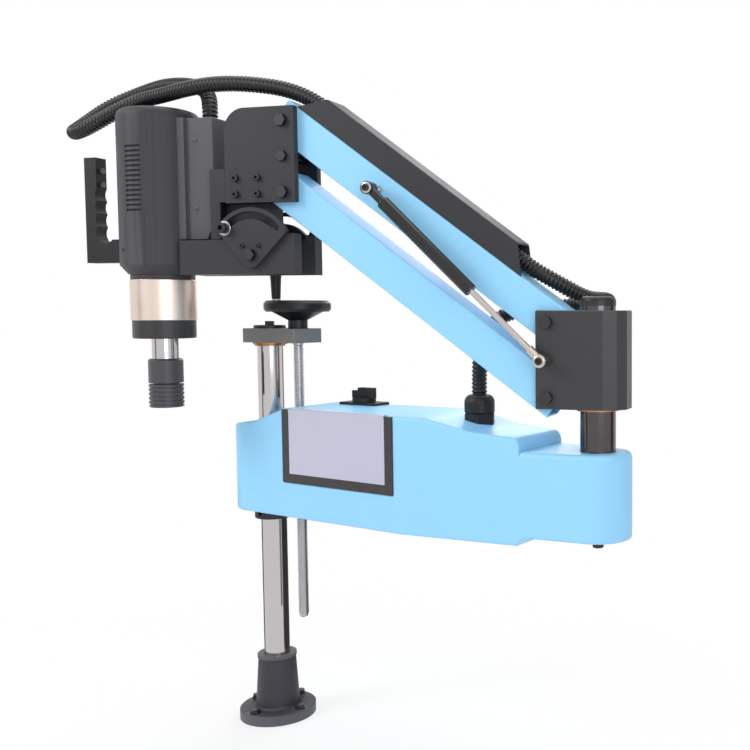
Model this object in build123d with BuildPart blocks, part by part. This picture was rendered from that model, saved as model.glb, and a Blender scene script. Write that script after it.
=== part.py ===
# Arm tapping machine: a bench flange and column, a lifting arm on a lead screw, a swivelling
# parallelogram arm with a gas spring, and a tilting motor head with a quick-change chuck.
# Millimetres, +Z up. Origin: centre of the flange's underside, on the column's axis.
# +X runs along the lower arm towards the swivel shaft, and the screen faces -Y.
import os
from math import sin, cos, tan, radians, degrees, hypot, asin, atan2, sqrt, pi

from build123d import *

# ---------------------------------------------------------------- driving dimensions
# stand
COLUMN_R = 25.0
COLUMN_BORE_R = 18.0
FLANGE_R = 74.0
FLANGE_T = 20.0
SOCKET_TOP = 128.0
SOCKET_FOOT_R = 43.0
SOCKET_TOP_R = 36.5
SOCKET_LIP_H = 7.0
SOCKET_LIP_T = 1.6
SOCKET_FLOOR = 9.0
FLANGE_FILLET = 7.0
BENCH_PCD_R = 60.0
BENCH_BOLT_R = 5.0
BENCH_HEAD_AF = 16.0
BENCH_HEAD_H = 6.4
BENCH_BOLT_END = 1.0
WASHER_R = 10.0
WASHER_T = 2.0

# running fits and clearances
SLIDE_FIT = 0.05
SEAT_GAP = 0.3
PIN_FIT = 0.06
OPEN_FIT = 0.5

# top bracket
PLATE_BOTTOM = 763.0
PLATE_T = 28.0
PLATE_LEFT = 37.0
PLATE_RIGHT = 104.0
PLATE_HALF_W = 37.0
BUSH_R = 30.0
BUSH_FLANGE_R = 33.0
BUSH_FLANGE_T = 4.0
THRUST_RING_T = 3.0
THRUST_RING_R = 29.0
CAP_DISC_R = 31.0
CAP_DISC_T = 6.0
CAP_BOLT_AF = 16.0
CAP_BOLT_H = 8.0
CAP_PLUG_L = 30.0

# lead screw and handwheel
SCREW_X = 77.0
SCREW_R = 10.0
SCREW_BOTTOM = 213.0
SCREW_NECK_R = 7.0
WHEEL_R = 63.5
WHEEL_RIM_BOTTOM = 824.0
WHEEL_RIM_H = 22.0
WHEEL_RIM_W = 15.0
WHEEL_HUB_R = 18.5
WHEEL_HUB_BOTTOM = PLATE_BOTTOM + PLATE_T + SEAT_GAP
WHEEL_HUB_H = 16.0
WHEEL_WEB_T = 7.0
GRIP_ORBIT = 48.0
GRIP_ANGLE = 192.0
GRIP_PIN_R = 5.0
GRIP_H = 88.0
GRIP_FOOT_R = 8.5
GRIP_BULB_R = 13.0

# lower arm housing
ARM_BOTTOM = 432.0
SLEEVE_R = 68.5
WAIST_X = 406.0
WAIST_HALF_W = 92.0
SHAFT_X = 753.0
NOSE_R = 57.5
NOSE_BOTTOM = 446.0
NOSE_TOP = 592.0
STEP_UNDER_X = 634.0
STEP_TOP_X = 640.0
SLEEVE_TOP = 598.0
SHOULDER_X = 27.0
SHOULDER_Z = 613.0
BOX_LEFT_X = 111.0
BOX_TOP = 641.0
RAMP_X = 453.0
RAMP_END_X = 545.0
RAMP_END_Z = 621.0
TAIL_Z = 615.0
HOUSING_WALL = 6.0
CAVITY_LEFT = 112.0
CAVITY_RIGHT = 618.0
CAVITY_TOP = 606.0
COVER_T = 4.0
ARM_BUSH_R = 32.0
ARM_BUSH_L = 34.0
COLLAR_R = 36.5
COLLAR_BOTTOM = 409.0
NUT_R = 17.0
NUT_L = 44.0
NUT_FLANGE_R = 22.0
NUT_FLANGE_T = 8.0
SCREW_TUNNEL_R = 14.0

# screen and controls on the housing
SCREEN_LEFT = 111.8
SCREEN_W = 283.0
SCREEN_BOTTOM = 499.5
SCREEN_H = 140.0
SCREEN_T = 5.0
SCREEN_PROUD = 2.0
GLASS_SIDE = 18.5
GLASS_BOTTOM = 17.5
GLASS_TOP = 4.0
GLASS_SET_BACK = 0.6
SWITCH_X = 192.0
SWITCH_Y = 58.0
SWITCH_BASE_W = 92.0
SWITCH_BASE_D = 46.0
SWITCH_BASE_T = 5.0
KNOB_SKIRT_R = 23.0
KNOB_SKIRT_H = 8.0
KNOB_REACH = 29.0
KNOB_GRIP_W = 15.0
KNOB_GRIP_H = 20.0
KNOB_STEP_H = 6.0
GLAND_X = 505.0
GLAND_Y = 10.0
GLAND_SEAT = 621.0
GLAND_HEX_TOP = 643.0
GLAND_AF = 50.0
GLAND_SHANK_R = 19.0
GLAND_NUT_R = 27.0
GLAND_NUT_TOP = 677.0
GLAND_NUT_STRAIGHT = 19.0

# swivel shaft and block
SHAFT_R = 30.0
SHAFT_BOTTOM = 450.0
SHAFT_TOP = 835.0
SHAFT_CAP_H = 15.0
SHAFT_BOLT_R = 9.5
SHAFT_BOLT_H = 17.0
BLOCK_BOTTOM = 664.5
BLOCK_TOP = 827.0
BLOCK_HALF_W = 42.0
BLOCK_REACH = 95.0
BLOCK_BACK = 54.0
BLOCK_FACE_BACK = 19.5
FORK_HALF_GAP = 30.6
FORK_ROOT = 38.5
BLOCK_BORE_R = 33.5
BLOCK_BUSH_L = 40.0

# parallelogram arm, in its own frame: s away from the shaft, o towards the front
SWING = 13.2
LINK_PIVOT_S = 76.0
UPPER_PIVOT_Z = 807.0
LOWER_PIVOT_Z = 683.5
LINK_LENGTH = 595.0
LINK_ANGLE = 35.93
HEAD_S = LINK_PIVOT_S + LINK_LENGTH * cos(radians(LINK_ANGLE))
RISE = LINK_LENGTH * sin(radians(LINK_ANGLE))
HEAD_UPPER_Z = UPPER_PIVOT_Z + RISE
HEAD_LOWER_Z = LOWER_PIVOT_Z + RISE
TUBE_HALF_W = 30.0
TUBE_UP = 33.5
TUBE_DOWN = 30.5
TUBE_WALL = 4.0
TUBE_TAIL = 16.0
TUBE_BOSS_R = 14.0
PIN_R = 8.0
PIN_HEAD_AF = 19.0
PIN_HEAD_H = 7.5
COVER_FOOT_START = 83.0
COVER_TOP_START = 122.0
COVER_TOP_END = LINK_LENGTH - 47
COVER_FOOT_END = LINK_LENGTH - 5
COVER_H = 42.0
COVER_WALL = 2.5
COVER_OPENING = 4.0

# gas spring
SPRING_PLANE = 60.0
SPRING_EYE_HALF_W = 10.0
STUD_HEX_AF = 16.0
STUD_HEX_H = 4.0
SPRING_NECK_R = 7.5
SPRING_NECK_L = 28.0
PISTON_R = 9.0
PISTON_L = 10.0
ROD_IN = 110.0
SPRING_END_T = 14.0
SPRING_TOP_ALONG = 380.5
SPRING_TOP_PERP = 2.3
SPRING_LOW_S = 79.5
SPRING_LOW_Z = 745.0
SPRING_R = 11.5
SPRING_ROD_R = 5.0
SPRING_BODY_START = 34.0
SPRING_BODY_END = 252.0
SPRING_EYE_R = 11.0
STUD_R = 6.0

# head bracket
BRACKET_RIGHT = HEAD_S - 23.8
BRACKET_LEFT = HEAD_S + 115.2
BRACKET_BOTTOM = HEAD_UPPER_Z - 140.15
BRACKET_TOP = HEAD_UPPER_Z + 24.85
BRACKET_T = 12.0
BRACKET_CORNER_R = 40.0
MID_BOLT_Z = HEAD_UPPER_Z - 61.15
SPACER_R = 6.0
SPACER_HEAD_AF = 17.0
SPACER_HEAD_H = 5.5
YOKE_RIGHT = HEAD_S + 41.2
YOKE_LEFT = HEAD_S + 146.2
YOKE_TOP = HEAD_UPPER_Z - 80.15
TONGUE_HALF_W = 21.0
YOKE_BOTTOM = HEAD_UPPER_Z - 253.15
YOKE_BOLT_S = (HEAD_S + 49.7, HEAD_S + 93.7)
YOKE_BOLT_Z = (HEAD_UPPER_Z - 125.15, HEAD_UPPER_Z - 97.15)
YOKE_BOLT_R = 4.0
YOKE_HEAD_R = 6.5
YOKE_HEAD_H = 6.0
YOKE_BOLT_IN = 12.0
EAR_BOTTOM = HEAD_UPPER_Z - 138.15
EAR_BAR_RIGHT = HEAD_S + 126.2
EAR_BAR_BOTTOM = HEAD_UPPER_Z - 203.15

# tilting head
TILT_S = HEAD_S + 60
TILT_Z = HEAD_UPPER_Z - 232.15
TILT_PIN_R = 8.0
SLOT_R = 69.0
SLOT_HALF_W = 6.8
CLAMP_ANGLE = 43.2
SLOT_SWEEP = 94.0
SECTOR_R = 83.0
SECTOR_T = 8.0
SECTOR_IN = 45.0
CLAMP_R = 6.0
CLAMP_HEAD_R = 9.5
CLAMP_HEAD_H = 11.0
CLAMP_WASHER_R = 13.0
MOUNT_RIGHT = HEAD_S - 21.8
MOUNT_BOTTOM = HEAD_UPPER_Z - 265.15
MOUNT_TOP = HEAD_UPPER_Z - 204.15
MOUNT_SLOT_END = HEAD_S + 151.2
MOUNT_LEFT = HEAD_S + 210.2
MOUNT_IN = 22.0
MOUNT_SADDLE_S = HEAD_S + 220.2
MOUNT_SADDLE_HALF_W = 36.0
SECTOR_HUB_R = 22.0
SECTOR_CORNER_R = 6.0
SECTOR_START = 33.0
SECTOR_END = 151.0
CLAMP_SPACER_R = 11.0
CLAMP_WASHER_T = 2.4
MOUNT_EAR_TOP = HEAD_UPPER_Z - 195.15
MOUNT_EAR_W = 20.0
MOTOR_S = HEAD_S + 283.2
MOTOR_R = 72.0
MOTOR_BOTTOM = HEAD_UPPER_Z - 247.15
MOTOR_TOP = MOTOR_BOTTOM + 283
MOTOR_SHOULDER_R = 16.0
MOTOR_NECK_R = 58.0
MOTOR_NECK_Z = MOTOR_BOTTOM - 16
VENT_COUNT = 14
VENT_PITCH = 8.7
VENT_H = 4.0
VENT_LOW_Z = MOTOR_BOTTOM + 95
VENT_W = 32.0
VENT_DEPTH = 4.0
GEAR_R = 57.0
GEAR_TOP = MOTOR_BOTTOM - 25.5
GEAR_BOTTOM = MOTOR_BOTTOM - 100.5
GEAR_COLLAR_R = 55.5
RING_R = 55.0
RING_BOTTOM = MOTOR_BOTTOM - 134
SPINDLE_R = 23.5
SPINDLE_BOTTOM = MOTOR_BOTTOM - 172
JOURNAL_R = 18.0
JOURNAL_L = 26.0
CHUCK_R = 30.5
CHUCK_BOTTOM = MOTOR_BOTTOM - 263
CHUCK_BORE_R = 9.5
CHUCK_BORE_L = 40.0
CHUCK_CORE_R = 22.0
SLEEVE_Z = MOTOR_BOTTOM - 217
SLEEVE_TRAVEL = 2.5
SLEEVE_LIP = 2.0
SLEEVE_GROOVES = 5
SLEEVE_GROOVE_PITCH = 8.0
SLEEVE_GROOVE_W = 3.4
SLEEVE_GROOVE_D = 1.8
BOX_RIGHT_S = MOTOR_S - 134
BOX_LEFT_S = MOTOR_S - 79
BOX_HALF_W = 28.0
BOX_BOTTOM_Z = MOTOR_BOTTOM + 46
BOX_TOP_Z = MOTOR_BOTTOM + 263
BOX_CUT_W = 15.0
BOX_CUT_Z = MOTOR_BOTTOM + 78
BOX_CUT_H = 26.0
BOX_FOOT_HALF_W = 34.0
BOX_CORNER_R = 3.0
SECTOR_SCREW_R = 4.2
SECTOR_SCREW_H = 3.5
SECTOR_SCREW_UP = 16.0
BOX_SCREW_R = 4.0
BOX_SCREW_H = 2.0
BOX_SCREW_IN = 19.0
BOX_SCREW_DOWN = 40.0
BOX_SCREW_UP = 55.0
HANDLE_IN = MOTOR_S + 130
HANDLE_OUT = HANDLE_IN + 29
HANDLE_HALF_W = 13.0
HANDLE_TOP = MOTOR_BOTTOM + 203
HANDLE_BOTTOM = MOTOR_BOTTOM + 7
HANDLE_ARM_TOP = MOTOR_BOTTOM + 50
GROOVE_COUNT = 4
GROOVE_PITCH = 24.0
GROOVE_R = 20.0
GROOVE_DEPTH = 3.5
GROOVE_LOW_Z = MOTOR_BOTTOM + 63
HANDLE_EDGE_R = 5.0
BUTTON_R = 5.5
BUTTON_OUT = 5.0
BUTTON_TRAVEL = 3.0
BUTTON_HELD = 5.0
BUTTON_HIGH_Z = MOTOR_BOTTOM + 179
BUTTON_LOW_Z = MOTOR_BOTTOM + 153

# hoses
HOSE_R = 14.0
HOSE_BORE_R = 10.5
HOSE_EXIT_S = BOX_LEFT_S - 24.0
HOSE_EXIT_O = -10.0
GLAND_S = (SHAFT_X - GLAND_X) * cos(radians(SWING)) - GLAND_Y * sin(radians(SWING))
GLAND_O = (SHAFT_X - GLAND_X) * -sin(radians(SWING)) - GLAND_Y * cos(radians(SWING))

# ---------------------------------------------------------------- frames and helpers
UP = Vector(0, 0, 1)
ALONG = Vector(-cos(radians(SWING)), -sin(radians(SWING)), 0)
FRONT = Vector(sin(radians(SWING)), -cos(radians(SWING)), 0)
SHAFT_FOOT = Vector(SHAFT_X, 0, 0)
LINK_DIR = ALONG * cos(radians(LINK_ANGLE)) + UP * sin(radians(LINK_ANGLE))
LINK_UP = UP * cos(radians(LINK_ANGLE)) - ALONG * sin(radians(LINK_ANGLE))


def swing_point(s, o, z):
    """A point of the swinging arm: s from the shaft, o towards the front, z up."""
    return SHAFT_FOOT + ALONG * s + FRONT * o + UP * z


def side(o):
    """Upright plane of the swinging arm at depth o: x is s, y is z, and it faces backwards."""
    return Plane(origin=swing_point(0, o, 0), x_dir=ALONG, z_dir=-FRONT)


def level(z):
    """Horizontal plane of the swinging arm: x is s and y is o."""
    return Plane(origin=swing_point(0, 0, z), x_dir=ALONG, z_dir=UP)


def link_side(o, pivot_z):
    """Upright plane along a link: x runs up the link from its pivot, y is square to it."""
    return Plane(origin=swing_point(LINK_PIVOT_S, o, pivot_z), x_dir=LINK_DIR, z_dir=-FRONT)


def finish(builder, label):
    """Name a finished piece and write it."""
    builder.part.label = label
    export_step(builder.part, "parts/" + label + ".step")


os.makedirs("parts", exist_ok=True)

# ---------------------------------------------------------------- stand
with BuildPart() as base_flange:
    with BuildSketch(Plane.XZ):
        with BuildLine():
            Polyline(
                (0, 0), (FLANGE_R, 0), (FLANGE_R, FLANGE_T), (SOCKET_FOOT_R, FLANGE_T),
                (SOCKET_TOP_R, SOCKET_TOP - SOCKET_LIP_H),
                (SOCKET_TOP_R + SOCKET_LIP_T, SOCKET_TOP - SOCKET_LIP_H),
                (SOCKET_TOP_R + SOCKET_LIP_T, SOCKET_TOP), (COLUMN_R, SOCKET_TOP),
                (COLUMN_R, SOCKET_FLOOR), (0, SOCKET_FLOOR), (0, 0),
            )
        make_face()
    revolve(axis=Axis.Z)
    foot = base_flange.edges().filter_by(GeomType.CIRCLE)
    fillet(foot.filter_by(lambda e: abs(e.radius - SOCKET_FOOT_R) < 0.01), FLANGE_FILLET)
    rim = base_flange.edges().filter_by(GeomType.CIRCLE)
    chamfer(rim.filter_by(lambda e: abs(e.radius - FLANGE_R) < 0.01 and e.center().Z > 1), 1.5)
    with Locations(Plane.XY.offset(FLANGE_T)):
        with PolarLocations(BENCH_PCD_R, 4):
            Hole(BENCH_BOLT_R + SEAT_GAP, depth=FLANGE_T)
finish(base_flange, "base_flange")

with BuildPart() as base_bolts:
    with BuildSketch(Plane.XY.offset(FLANGE_T)):
        with PolarLocations(BENCH_PCD_R, 4):
            Circle(WASHER_R)
    extrude(amount=WASHER_T)
    with BuildSketch(Plane.XY.offset(FLANGE_T + WASHER_T)):
        with PolarLocations(BENCH_PCD_R, 4):
            RegularPolygon(BENCH_HEAD_AF / 2, 6, major_radius=False, rotation=12)
    extrude(amount=BENCH_HEAD_H)
    with BuildSketch(Plane.XY.offset(BENCH_BOLT_END)):
        with PolarLocations(BENCH_PCD_R, 4):
            Circle(BENCH_BOLT_R)
    extrude(amount=FLANGE_T - BENCH_BOLT_END)
finish(base_bolts, "base_bolts")

COLUMN_TOP = PLATE_BOTTOM + PLATE_T + SEAT_GAP
with BuildPart() as column:
    with BuildSketch(Plane.XY.offset(SOCKET_FLOOR)):
        Circle(COLUMN_R)
        Circle(COLUMN_BORE_R, mode=Mode.SUBTRACT)
    extrude(amount=COLUMN_TOP - SOCKET_FLOOR)
finish(column, "column")

THRUST_TOP = PLATE_BOTTOM - BUSH_FLANGE_T - SEAT_GAP
with BuildPart() as thrust_ring:
    with BuildSketch(Plane.XY.offset(THRUST_TOP - THRUST_RING_T)):
        Circle(THRUST_RING_R)
        Circle(COLUMN_R, mode=Mode.SUBTRACT)
    extrude(amount=THRUST_RING_T)
finish(thrust_ring, "thrust_ring")

with BuildPart() as column_cap:
    with BuildSketch(Plane.XY.offset(COLUMN_TOP)):
        Circle(CAP_DISC_R)
    extrude(amount=CAP_DISC_T)
    chamfer(column_cap.edges().group_by(Axis.Z)[-1], 1.5)
    with BuildSketch(Plane.XY.offset(COLUMN_TOP + CAP_DISC_T)):
        RegularPolygon(CAP_BOLT_AF / 2, 6, major_radius=False)
    extrude(amount=CAP_BOLT_H)
    with BuildSketch(Plane.XY.offset(COLUMN_TOP - CAP_PLUG_L)):
        Circle(COLUMN_BORE_R)
    extrude(amount=CAP_PLUG_L)
finish(column_cap, "column_cap")

# ---------------------------------------------------------------- top bracket
PLATE_TOP = PLATE_BOTTOM + PLATE_T
with BuildPart() as top_plate:
    with BuildSketch(Plane.XY.offset(PLATE_BOTTOM)) as plate_plan:
        with Locations(((PLATE_RIGHT - PLATE_LEFT) / 2, 0)):
            Rectangle(PLATE_RIGHT + PLATE_LEFT, 2 * PLATE_HALF_W)
        chamfer(plate_plan.vertices(), 2.0)
        Circle(BUSH_R, mode=Mode.SUBTRACT)
        with Locations((SCREW_X, 0)):
            Circle(SCREW_NECK_R + SLIDE_FIT, mode=Mode.SUBTRACT)
    extrude(amount=PLATE_T)
finish(top_plate, "top_plate")

with BuildPart() as top_bush:
    with BuildSketch(Plane.XY.offset(PLATE_BOTTOM)):
        Circle(BUSH_R)
    extrude(amount=PLATE_T)
    with BuildSketch(Plane.XY.offset(PLATE_BOTTOM - BUSH_FLANGE_T)):
        Circle(BUSH_FLANGE_R)
    extrude(amount=BUSH_FLANGE_T)
    with BuildSketch(Plane.XY.offset(PLATE_BOTTOM - BUSH_FLANGE_T)):
        Circle(COLUMN_R + SLIDE_FIT)
    extrude(amount=PLATE_T + BUSH_FLANGE_T, mode=Mode.SUBTRACT)
finish(top_bush, "top_bush")

# ---------------------------------------------------------------- lead screw and handwheel
SCREW_AT = Plane(origin=(SCREW_X, 0, 0))
with BuildPart() as lead_screw:
    with BuildSketch(SCREW_AT.offset(SCREW_BOTTOM)):
        Circle(SCREW_R)
    extrude(amount=PLATE_BOTTOM - SEAT_GAP - SCREW_BOTTOM)
    chamfer(lead_screw.edges().group_by(Axis.Z)[0], 1.5)
    with BuildSketch(SCREW_AT.offset(PLATE_BOTTOM - SEAT_GAP)):
        Circle(SCREW_NECK_R)
    extrude(amount=WHEEL_RIM_BOTTOM + 2 - PLATE_BOTTOM + SEAT_GAP)
finish(lead_screw, "lead_screw")

WHEEL_RIM_TOP = WHEEL_RIM_BOTTOM + WHEEL_RIM_H
RIM_IN = WHEEL_R - WHEEL_RIM_W
with BuildPart() as handwheel:
    with BuildSketch(Plane(origin=(SCREW_X, 0, 0), x_dir=(1, 0, 0), z_dir=(0, -1, 0))):
        with BuildLine():
            Polyline(
                (SCREW_NECK_R, WHEEL_HUB_BOTTOM), (WHEEL_HUB_R, WHEEL_HUB_BOTTOM),
                (WHEEL_HUB_R, WHEEL_HUB_BOTTOM + WHEEL_HUB_H), (RIM_IN, WHEEL_RIM_BOTTOM),
                (WHEEL_R - 4, WHEEL_RIM_BOTTOM), (WHEEL_R, WHEEL_RIM_BOTTOM + 5),
                (WHEEL_R, WHEEL_RIM_TOP - 6), (WHEEL_R - 5, WHEEL_RIM_TOP),
                (RIM_IN + 4, WHEEL_RIM_TOP), (RIM_IN, WHEEL_RIM_TOP - 4),
                (RIM_IN - 3, WHEEL_RIM_BOTTOM + WHEEL_WEB_T),
                (WHEEL_HUB_R + 2, WHEEL_HUB_BOTTOM + WHEEL_HUB_H + WHEEL_WEB_T),
                (WHEEL_HUB_R - 2, WHEEL_RIM_BOTTOM + 2), (SCREW_NECK_R, WHEEL_RIM_BOTTOM + 2),
                (SCREW_NECK_R, WHEEL_HUB_BOTTOM),
            )
        make_face()
    revolve(axis=Axis((SCREW_X, 0, 0), (0, 0, 1)))
finish(handwheel, "handwheel")

GRIP_X = SCREW_X + GRIP_ORBIT * cos(radians(GRIP_ANGLE))
GRIP_Y = GRIP_ORBIT * sin(radians(GRIP_ANGLE))
GRIP_FOOT_Z = WHEEL_RIM_BOTTOM + WHEEL_WEB_T + 12
GRIP_SIDE = Plane(origin=(GRIP_X, GRIP_Y, 0), x_dir=(1, 0, 0), z_dir=(0, -1, 0))
GRIP_AXIS = Axis((GRIP_X, GRIP_Y, 0), (0, 0, 1))
with BuildPart() as grip_pin:
    with BuildSketch(Plane(origin=(GRIP_X, GRIP_Y, WHEEL_RIM_TOP))):
        Circle(GRIP_PIN_R)
    extrude(amount=GRIP_H + 4 - 6)
    with BuildSketch(Plane(origin=(GRIP_X, GRIP_Y, WHEEL_RIM_TOP))):
        Circle(GRIP_FOOT_R)
    extrude(amount=3.0)
finish(grip_pin, "grip_pin")

GRIP_BASE = WHEEL_RIM_TOP + 3.0 + SEAT_GAP
with BuildPart() as wheel_grip:
    with BuildSketch(GRIP_SIDE):
        with BuildLine():
            Polyline(
                (0, GRIP_BASE + GRIP_H), (0, GRIP_BASE + GRIP_H - 4.5),
                (GRIP_PIN_R + SLIDE_FIT, GRIP_BASE + GRIP_H - 4.5), (GRIP_PIN_R + SLIDE_FIT, GRIP_BASE),
                (GRIP_FOOT_R, GRIP_BASE), (GRIP_FOOT_R + 1.5, GRIP_BASE + 0.4 * GRIP_H),
                (GRIP_BULB_R, GRIP_BASE + GRIP_H - GRIP_BULB_R - 4),
                (GRIP_BULB_R, GRIP_BASE + GRIP_H - GRIP_BULB_R),
            )
            ThreePointArc(
                (GRIP_BULB_R, GRIP_BASE + GRIP_H - GRIP_BULB_R),
                (GRIP_BULB_R * sin(radians(45)), GRIP_BASE + GRIP_H - GRIP_BULB_R * (1 - sin(radians(45)))),
                (0, GRIP_BASE + GRIP_H),
            )
        make_face()
    revolve(axis=GRIP_AXIS)
finish(wheel_grip, "wheel_grip")

# ---------------------------------------------------------------- lower arm housing
WAIST_SLOPE = asin((WAIST_HALF_W - SLEEVE_R) / WAIST_X)
NOSE_RUN = hypot(SHAFT_X - WAIST_X, WAIST_HALF_W)
NOSE_TURN = atan2(WAIST_HALF_W, SHAFT_X - WAIST_X) - asin(NOSE_R / NOSE_RUN)
FACE_ANGLE = degrees(atan2(WAIST_HALF_W - SLEEVE_R * cos(WAIST_SLOPE), WAIST_X + SLEEVE_R * sin(WAIST_SLOPE)))


def arm_plan(inset):
    """Plan of the housing at its foot, symmetrical about the arm's axis and drawn in by an inset."""
    a = radians(FACE_ANGLE)
    sleeve = (-(SLEEVE_R - inset) * sin(a), (SLEEVE_R - inset) * cos(a))
    waist = (WAIST_X, WAIST_HALF_W - inset)
    nose = (SHAFT_X + (NOSE_R - inset) * sin(NOSE_TURN), (NOSE_R - inset) * cos(NOSE_TURN))
    with BuildSketch(Plane.XY.offset(ARM_BOTTOM)) as plan:
        with BuildLine():
            Polyline(sleeve, waist, nose)
            ThreePointArc(nose, (SHAFT_X + NOSE_R - inset, 0), (nose[0], -nose[1]))
            Polyline((nose[0], -nose[1]), (waist[0], -waist[1]), (sleeve[0], -sleeve[1]))
            ThreePointArc((sleeve[0], -sleeve[1]), (-(SLEEVE_R - inset), 0), sleeve)
        make_face()
    return plan.sketch


def cavity_plan():
    """Plan of the space inside the housing, between the sleeve and the nose."""
    middle = (CAVITY_LEFT + CAVITY_RIGHT) / 2
    with BuildSketch(Plane.XY.offset(ARM_BOTTOM)) as plan:
        add(arm_plan(HOUSING_WALL))
        with Locations((middle, 0)):
            Rectangle(CAVITY_RIGHT - CAVITY_LEFT, 2 * WAIST_HALF_W, mode=Mode.INTERSECT)
    return plan.sketch


# The front face left of the waist, where the screen sits: x along the face, y up, facing out.
FACE = Plane(
    origin=(-SLEEVE_R * sin(radians(FACE_ANGLE)), -SLEEVE_R * cos(radians(FACE_ANGLE)), 0),
    x_dir=(cos(radians(FACE_ANGLE)), -sin(radians(FACE_ANGLE)), 0),
    z_dir=(-sin(radians(FACE_ANGLE)), -cos(radians(FACE_ANGLE)), 0),
)
SCREEN_MID = (SCREEN_LEFT + SCREEN_W / 2, SCREEN_BOTTOM + SCREEN_H / 2)
RAMP_SLOPE = (BOX_TOP - RAMP_END_Z) / (RAMP_END_X - RAMP_X)

with BuildPart() as arm_housing:
    extrude(arm_plan(0), amount=BOX_TOP - ARM_BOTTOM + 10)
    with BuildSketch(Plane.XZ.offset(-WAIST_HALF_W - 10)):
        with BuildLine():
            Polyline(
                (-SLEEVE_R - 5, ARM_BOTTOM), (STEP_UNDER_X, ARM_BOTTOM),
                (STEP_UNDER_X + 14, NOSE_BOTTOM), (SHAFT_X + NOSE_R + 5, NOSE_BOTTOM),
                (SHAFT_X + NOSE_R + 5, NOSE_TOP), (STEP_TOP_X, NOSE_TOP), (STEP_TOP_X, TAIL_Z),
                (RAMP_END_X, RAMP_END_Z), (RAMP_X, BOX_TOP), (BOX_LEFT_X, BOX_TOP),
                (SHOULDER_X, SHOULDER_Z), (-SLEEVE_R - 5, SLEEVE_TOP), (-SLEEVE_R - 5, ARM_BOTTOM),
            )
        make_face()
    extrude(amount=2 * WAIST_HALF_W + 20, mode=Mode.INTERSECT)
    roof = arm_housing.faces().filter_by(lambda f: f.normal_at().Z > 0.8)
    nose_roof = roof.sort_by(Axis.X)[-1]
    fillet(nose_roof.edges().filter_by(lambda e: e.center().X > STEP_TOP_X + 1), 9.0)
    nose_floor = arm_housing.faces().filter_by(lambda f: f.normal_at().Z < -0.9).sort_by(Axis.X)[-1]
    fillet(nose_floor.edges().filter_by(lambda e: e.center().X > STEP_UNDER_X + 16), 4.0)
    extrude(cavity_plan(), amount=CAVITY_TOP - ARM_BOTTOM, mode=Mode.SUBTRACT)
    with BuildSketch(Plane.XY.offset(ARM_BOTTOM)):
        Circle(ARM_BUSH_R)
        with Locations((SCREW_X, 0)):
            Circle(SCREW_TUNNEL_R)
    extrude(amount=BOX_TOP - ARM_BOTTOM, mode=Mode.SUBTRACT)
    with BuildSketch(SCREW_AT.offset(ARM_BOTTOM)):
        Circle(NUT_R)
    extrude(amount=NUT_L, mode=Mode.SUBTRACT)
    with BuildSketch(Plane(origin=(SHAFT_X, 0, SHAFT_BOTTOM))):
        Circle(SHAFT_R)
    extrude(amount=NOSE_TOP - SHAFT_BOTTOM + 5, mode=Mode.SUBTRACT)
    with BuildSketch(Plane(origin=(SHAFT_X, 0, NOSE_BOTTOM - 1))):
        Circle(SHAFT_BOLT_R - 3.5)
    extrude(amount=SHAFT_BOTTOM - NOSE_BOTTOM + 2, mode=Mode.SUBTRACT)
    with BuildSketch(FACE):
        with Locations(SCREEN_MID):
            Rectangle(SCREEN_W, SCREEN_H)
    extrude(amount=-(SCREEN_T - SCREEN_PROUD), mode=Mode.SUBTRACT)
    with BuildSketch(Plane(origin=(GLAND_X, GLAND_Y, GLAND_SEAT))):
        RegularPolygon(GLAND_AF / 2 + 0.2, 6, major_radius=False)
    extrude(amount=40, mode=Mode.SUBTRACT)
    with BuildSketch(Plane(origin=(GLAND_X, GLAND_Y, CAVITY_TOP - 5))):
        Circle(GLAND_SHANK_R)
    extrude(amount=GLAND_SEAT - CAVITY_TOP + 10, mode=Mode.SUBTRACT)
finish(arm_housing, "arm_housing")

with BuildPart() as base_cover:
    extrude(cavity_plan(), amount=COVER_T)
finish(base_cover, "base_cover")

with BuildPart() as arm_bushes:
    for z in (ARM_BOTTOM, SHOULDER_Z - 12 - ARM_BUSH_L):
        with BuildSketch(Plane.XY.offset(z)):
            Circle(ARM_BUSH_R)
            Circle(COLUMN_R + SLIDE_FIT, mode=Mode.SUBTRACT)
        extrude(amount=ARM_BUSH_L)
finish(arm_bushes, "arm_bushes")

with BuildPart() as column_collar:
    with BuildSketch(Plane.XY.offset(COLLAR_BOTTOM)):
        Circle(COLLAR_R)
        Circle(COLUMN_R + SEAT_GAP, mode=Mode.SUBTRACT)
    extrude(amount=ARM_BOTTOM - COLLAR_BOTTOM)
    chamfer(column_collar.edges().group_by(Axis.Z)[0].sort_by(SortBy.RADIUS)[-1], 1.5)
    with BuildSketch(Plane.XZ.offset(COLUMN_R + 1)):
        with Locations((0, (ARM_BOTTOM + COLLAR_BOTTOM) / 2)):
            Circle(4.0)
    extrude(amount=20, mode=Mode.SUBTRACT)
finish(column_collar, "column_collar")

with BuildPart() as lift_nut:
    with BuildSketch(SCREW_AT.offset(ARM_BOTTOM)):
        Circle(NUT_R)
    extrude(amount=NUT_L)
    with BuildSketch(SCREW_AT.offset(ARM_BOTTOM - NUT_FLANGE_T)):
        Circle(NUT_FLANGE_R)
    extrude(amount=NUT_FLANGE_T)
    with BuildSketch(SCREW_AT.offset(ARM_BOTTOM - NUT_FLANGE_T)):
        Circle(SCREW_R + SLIDE_FIT)
    extrude(amount=NUT_L + NUT_FLANGE_T, mode=Mode.SUBTRACT)
finish(lift_nut, "lift_nut")

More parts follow.
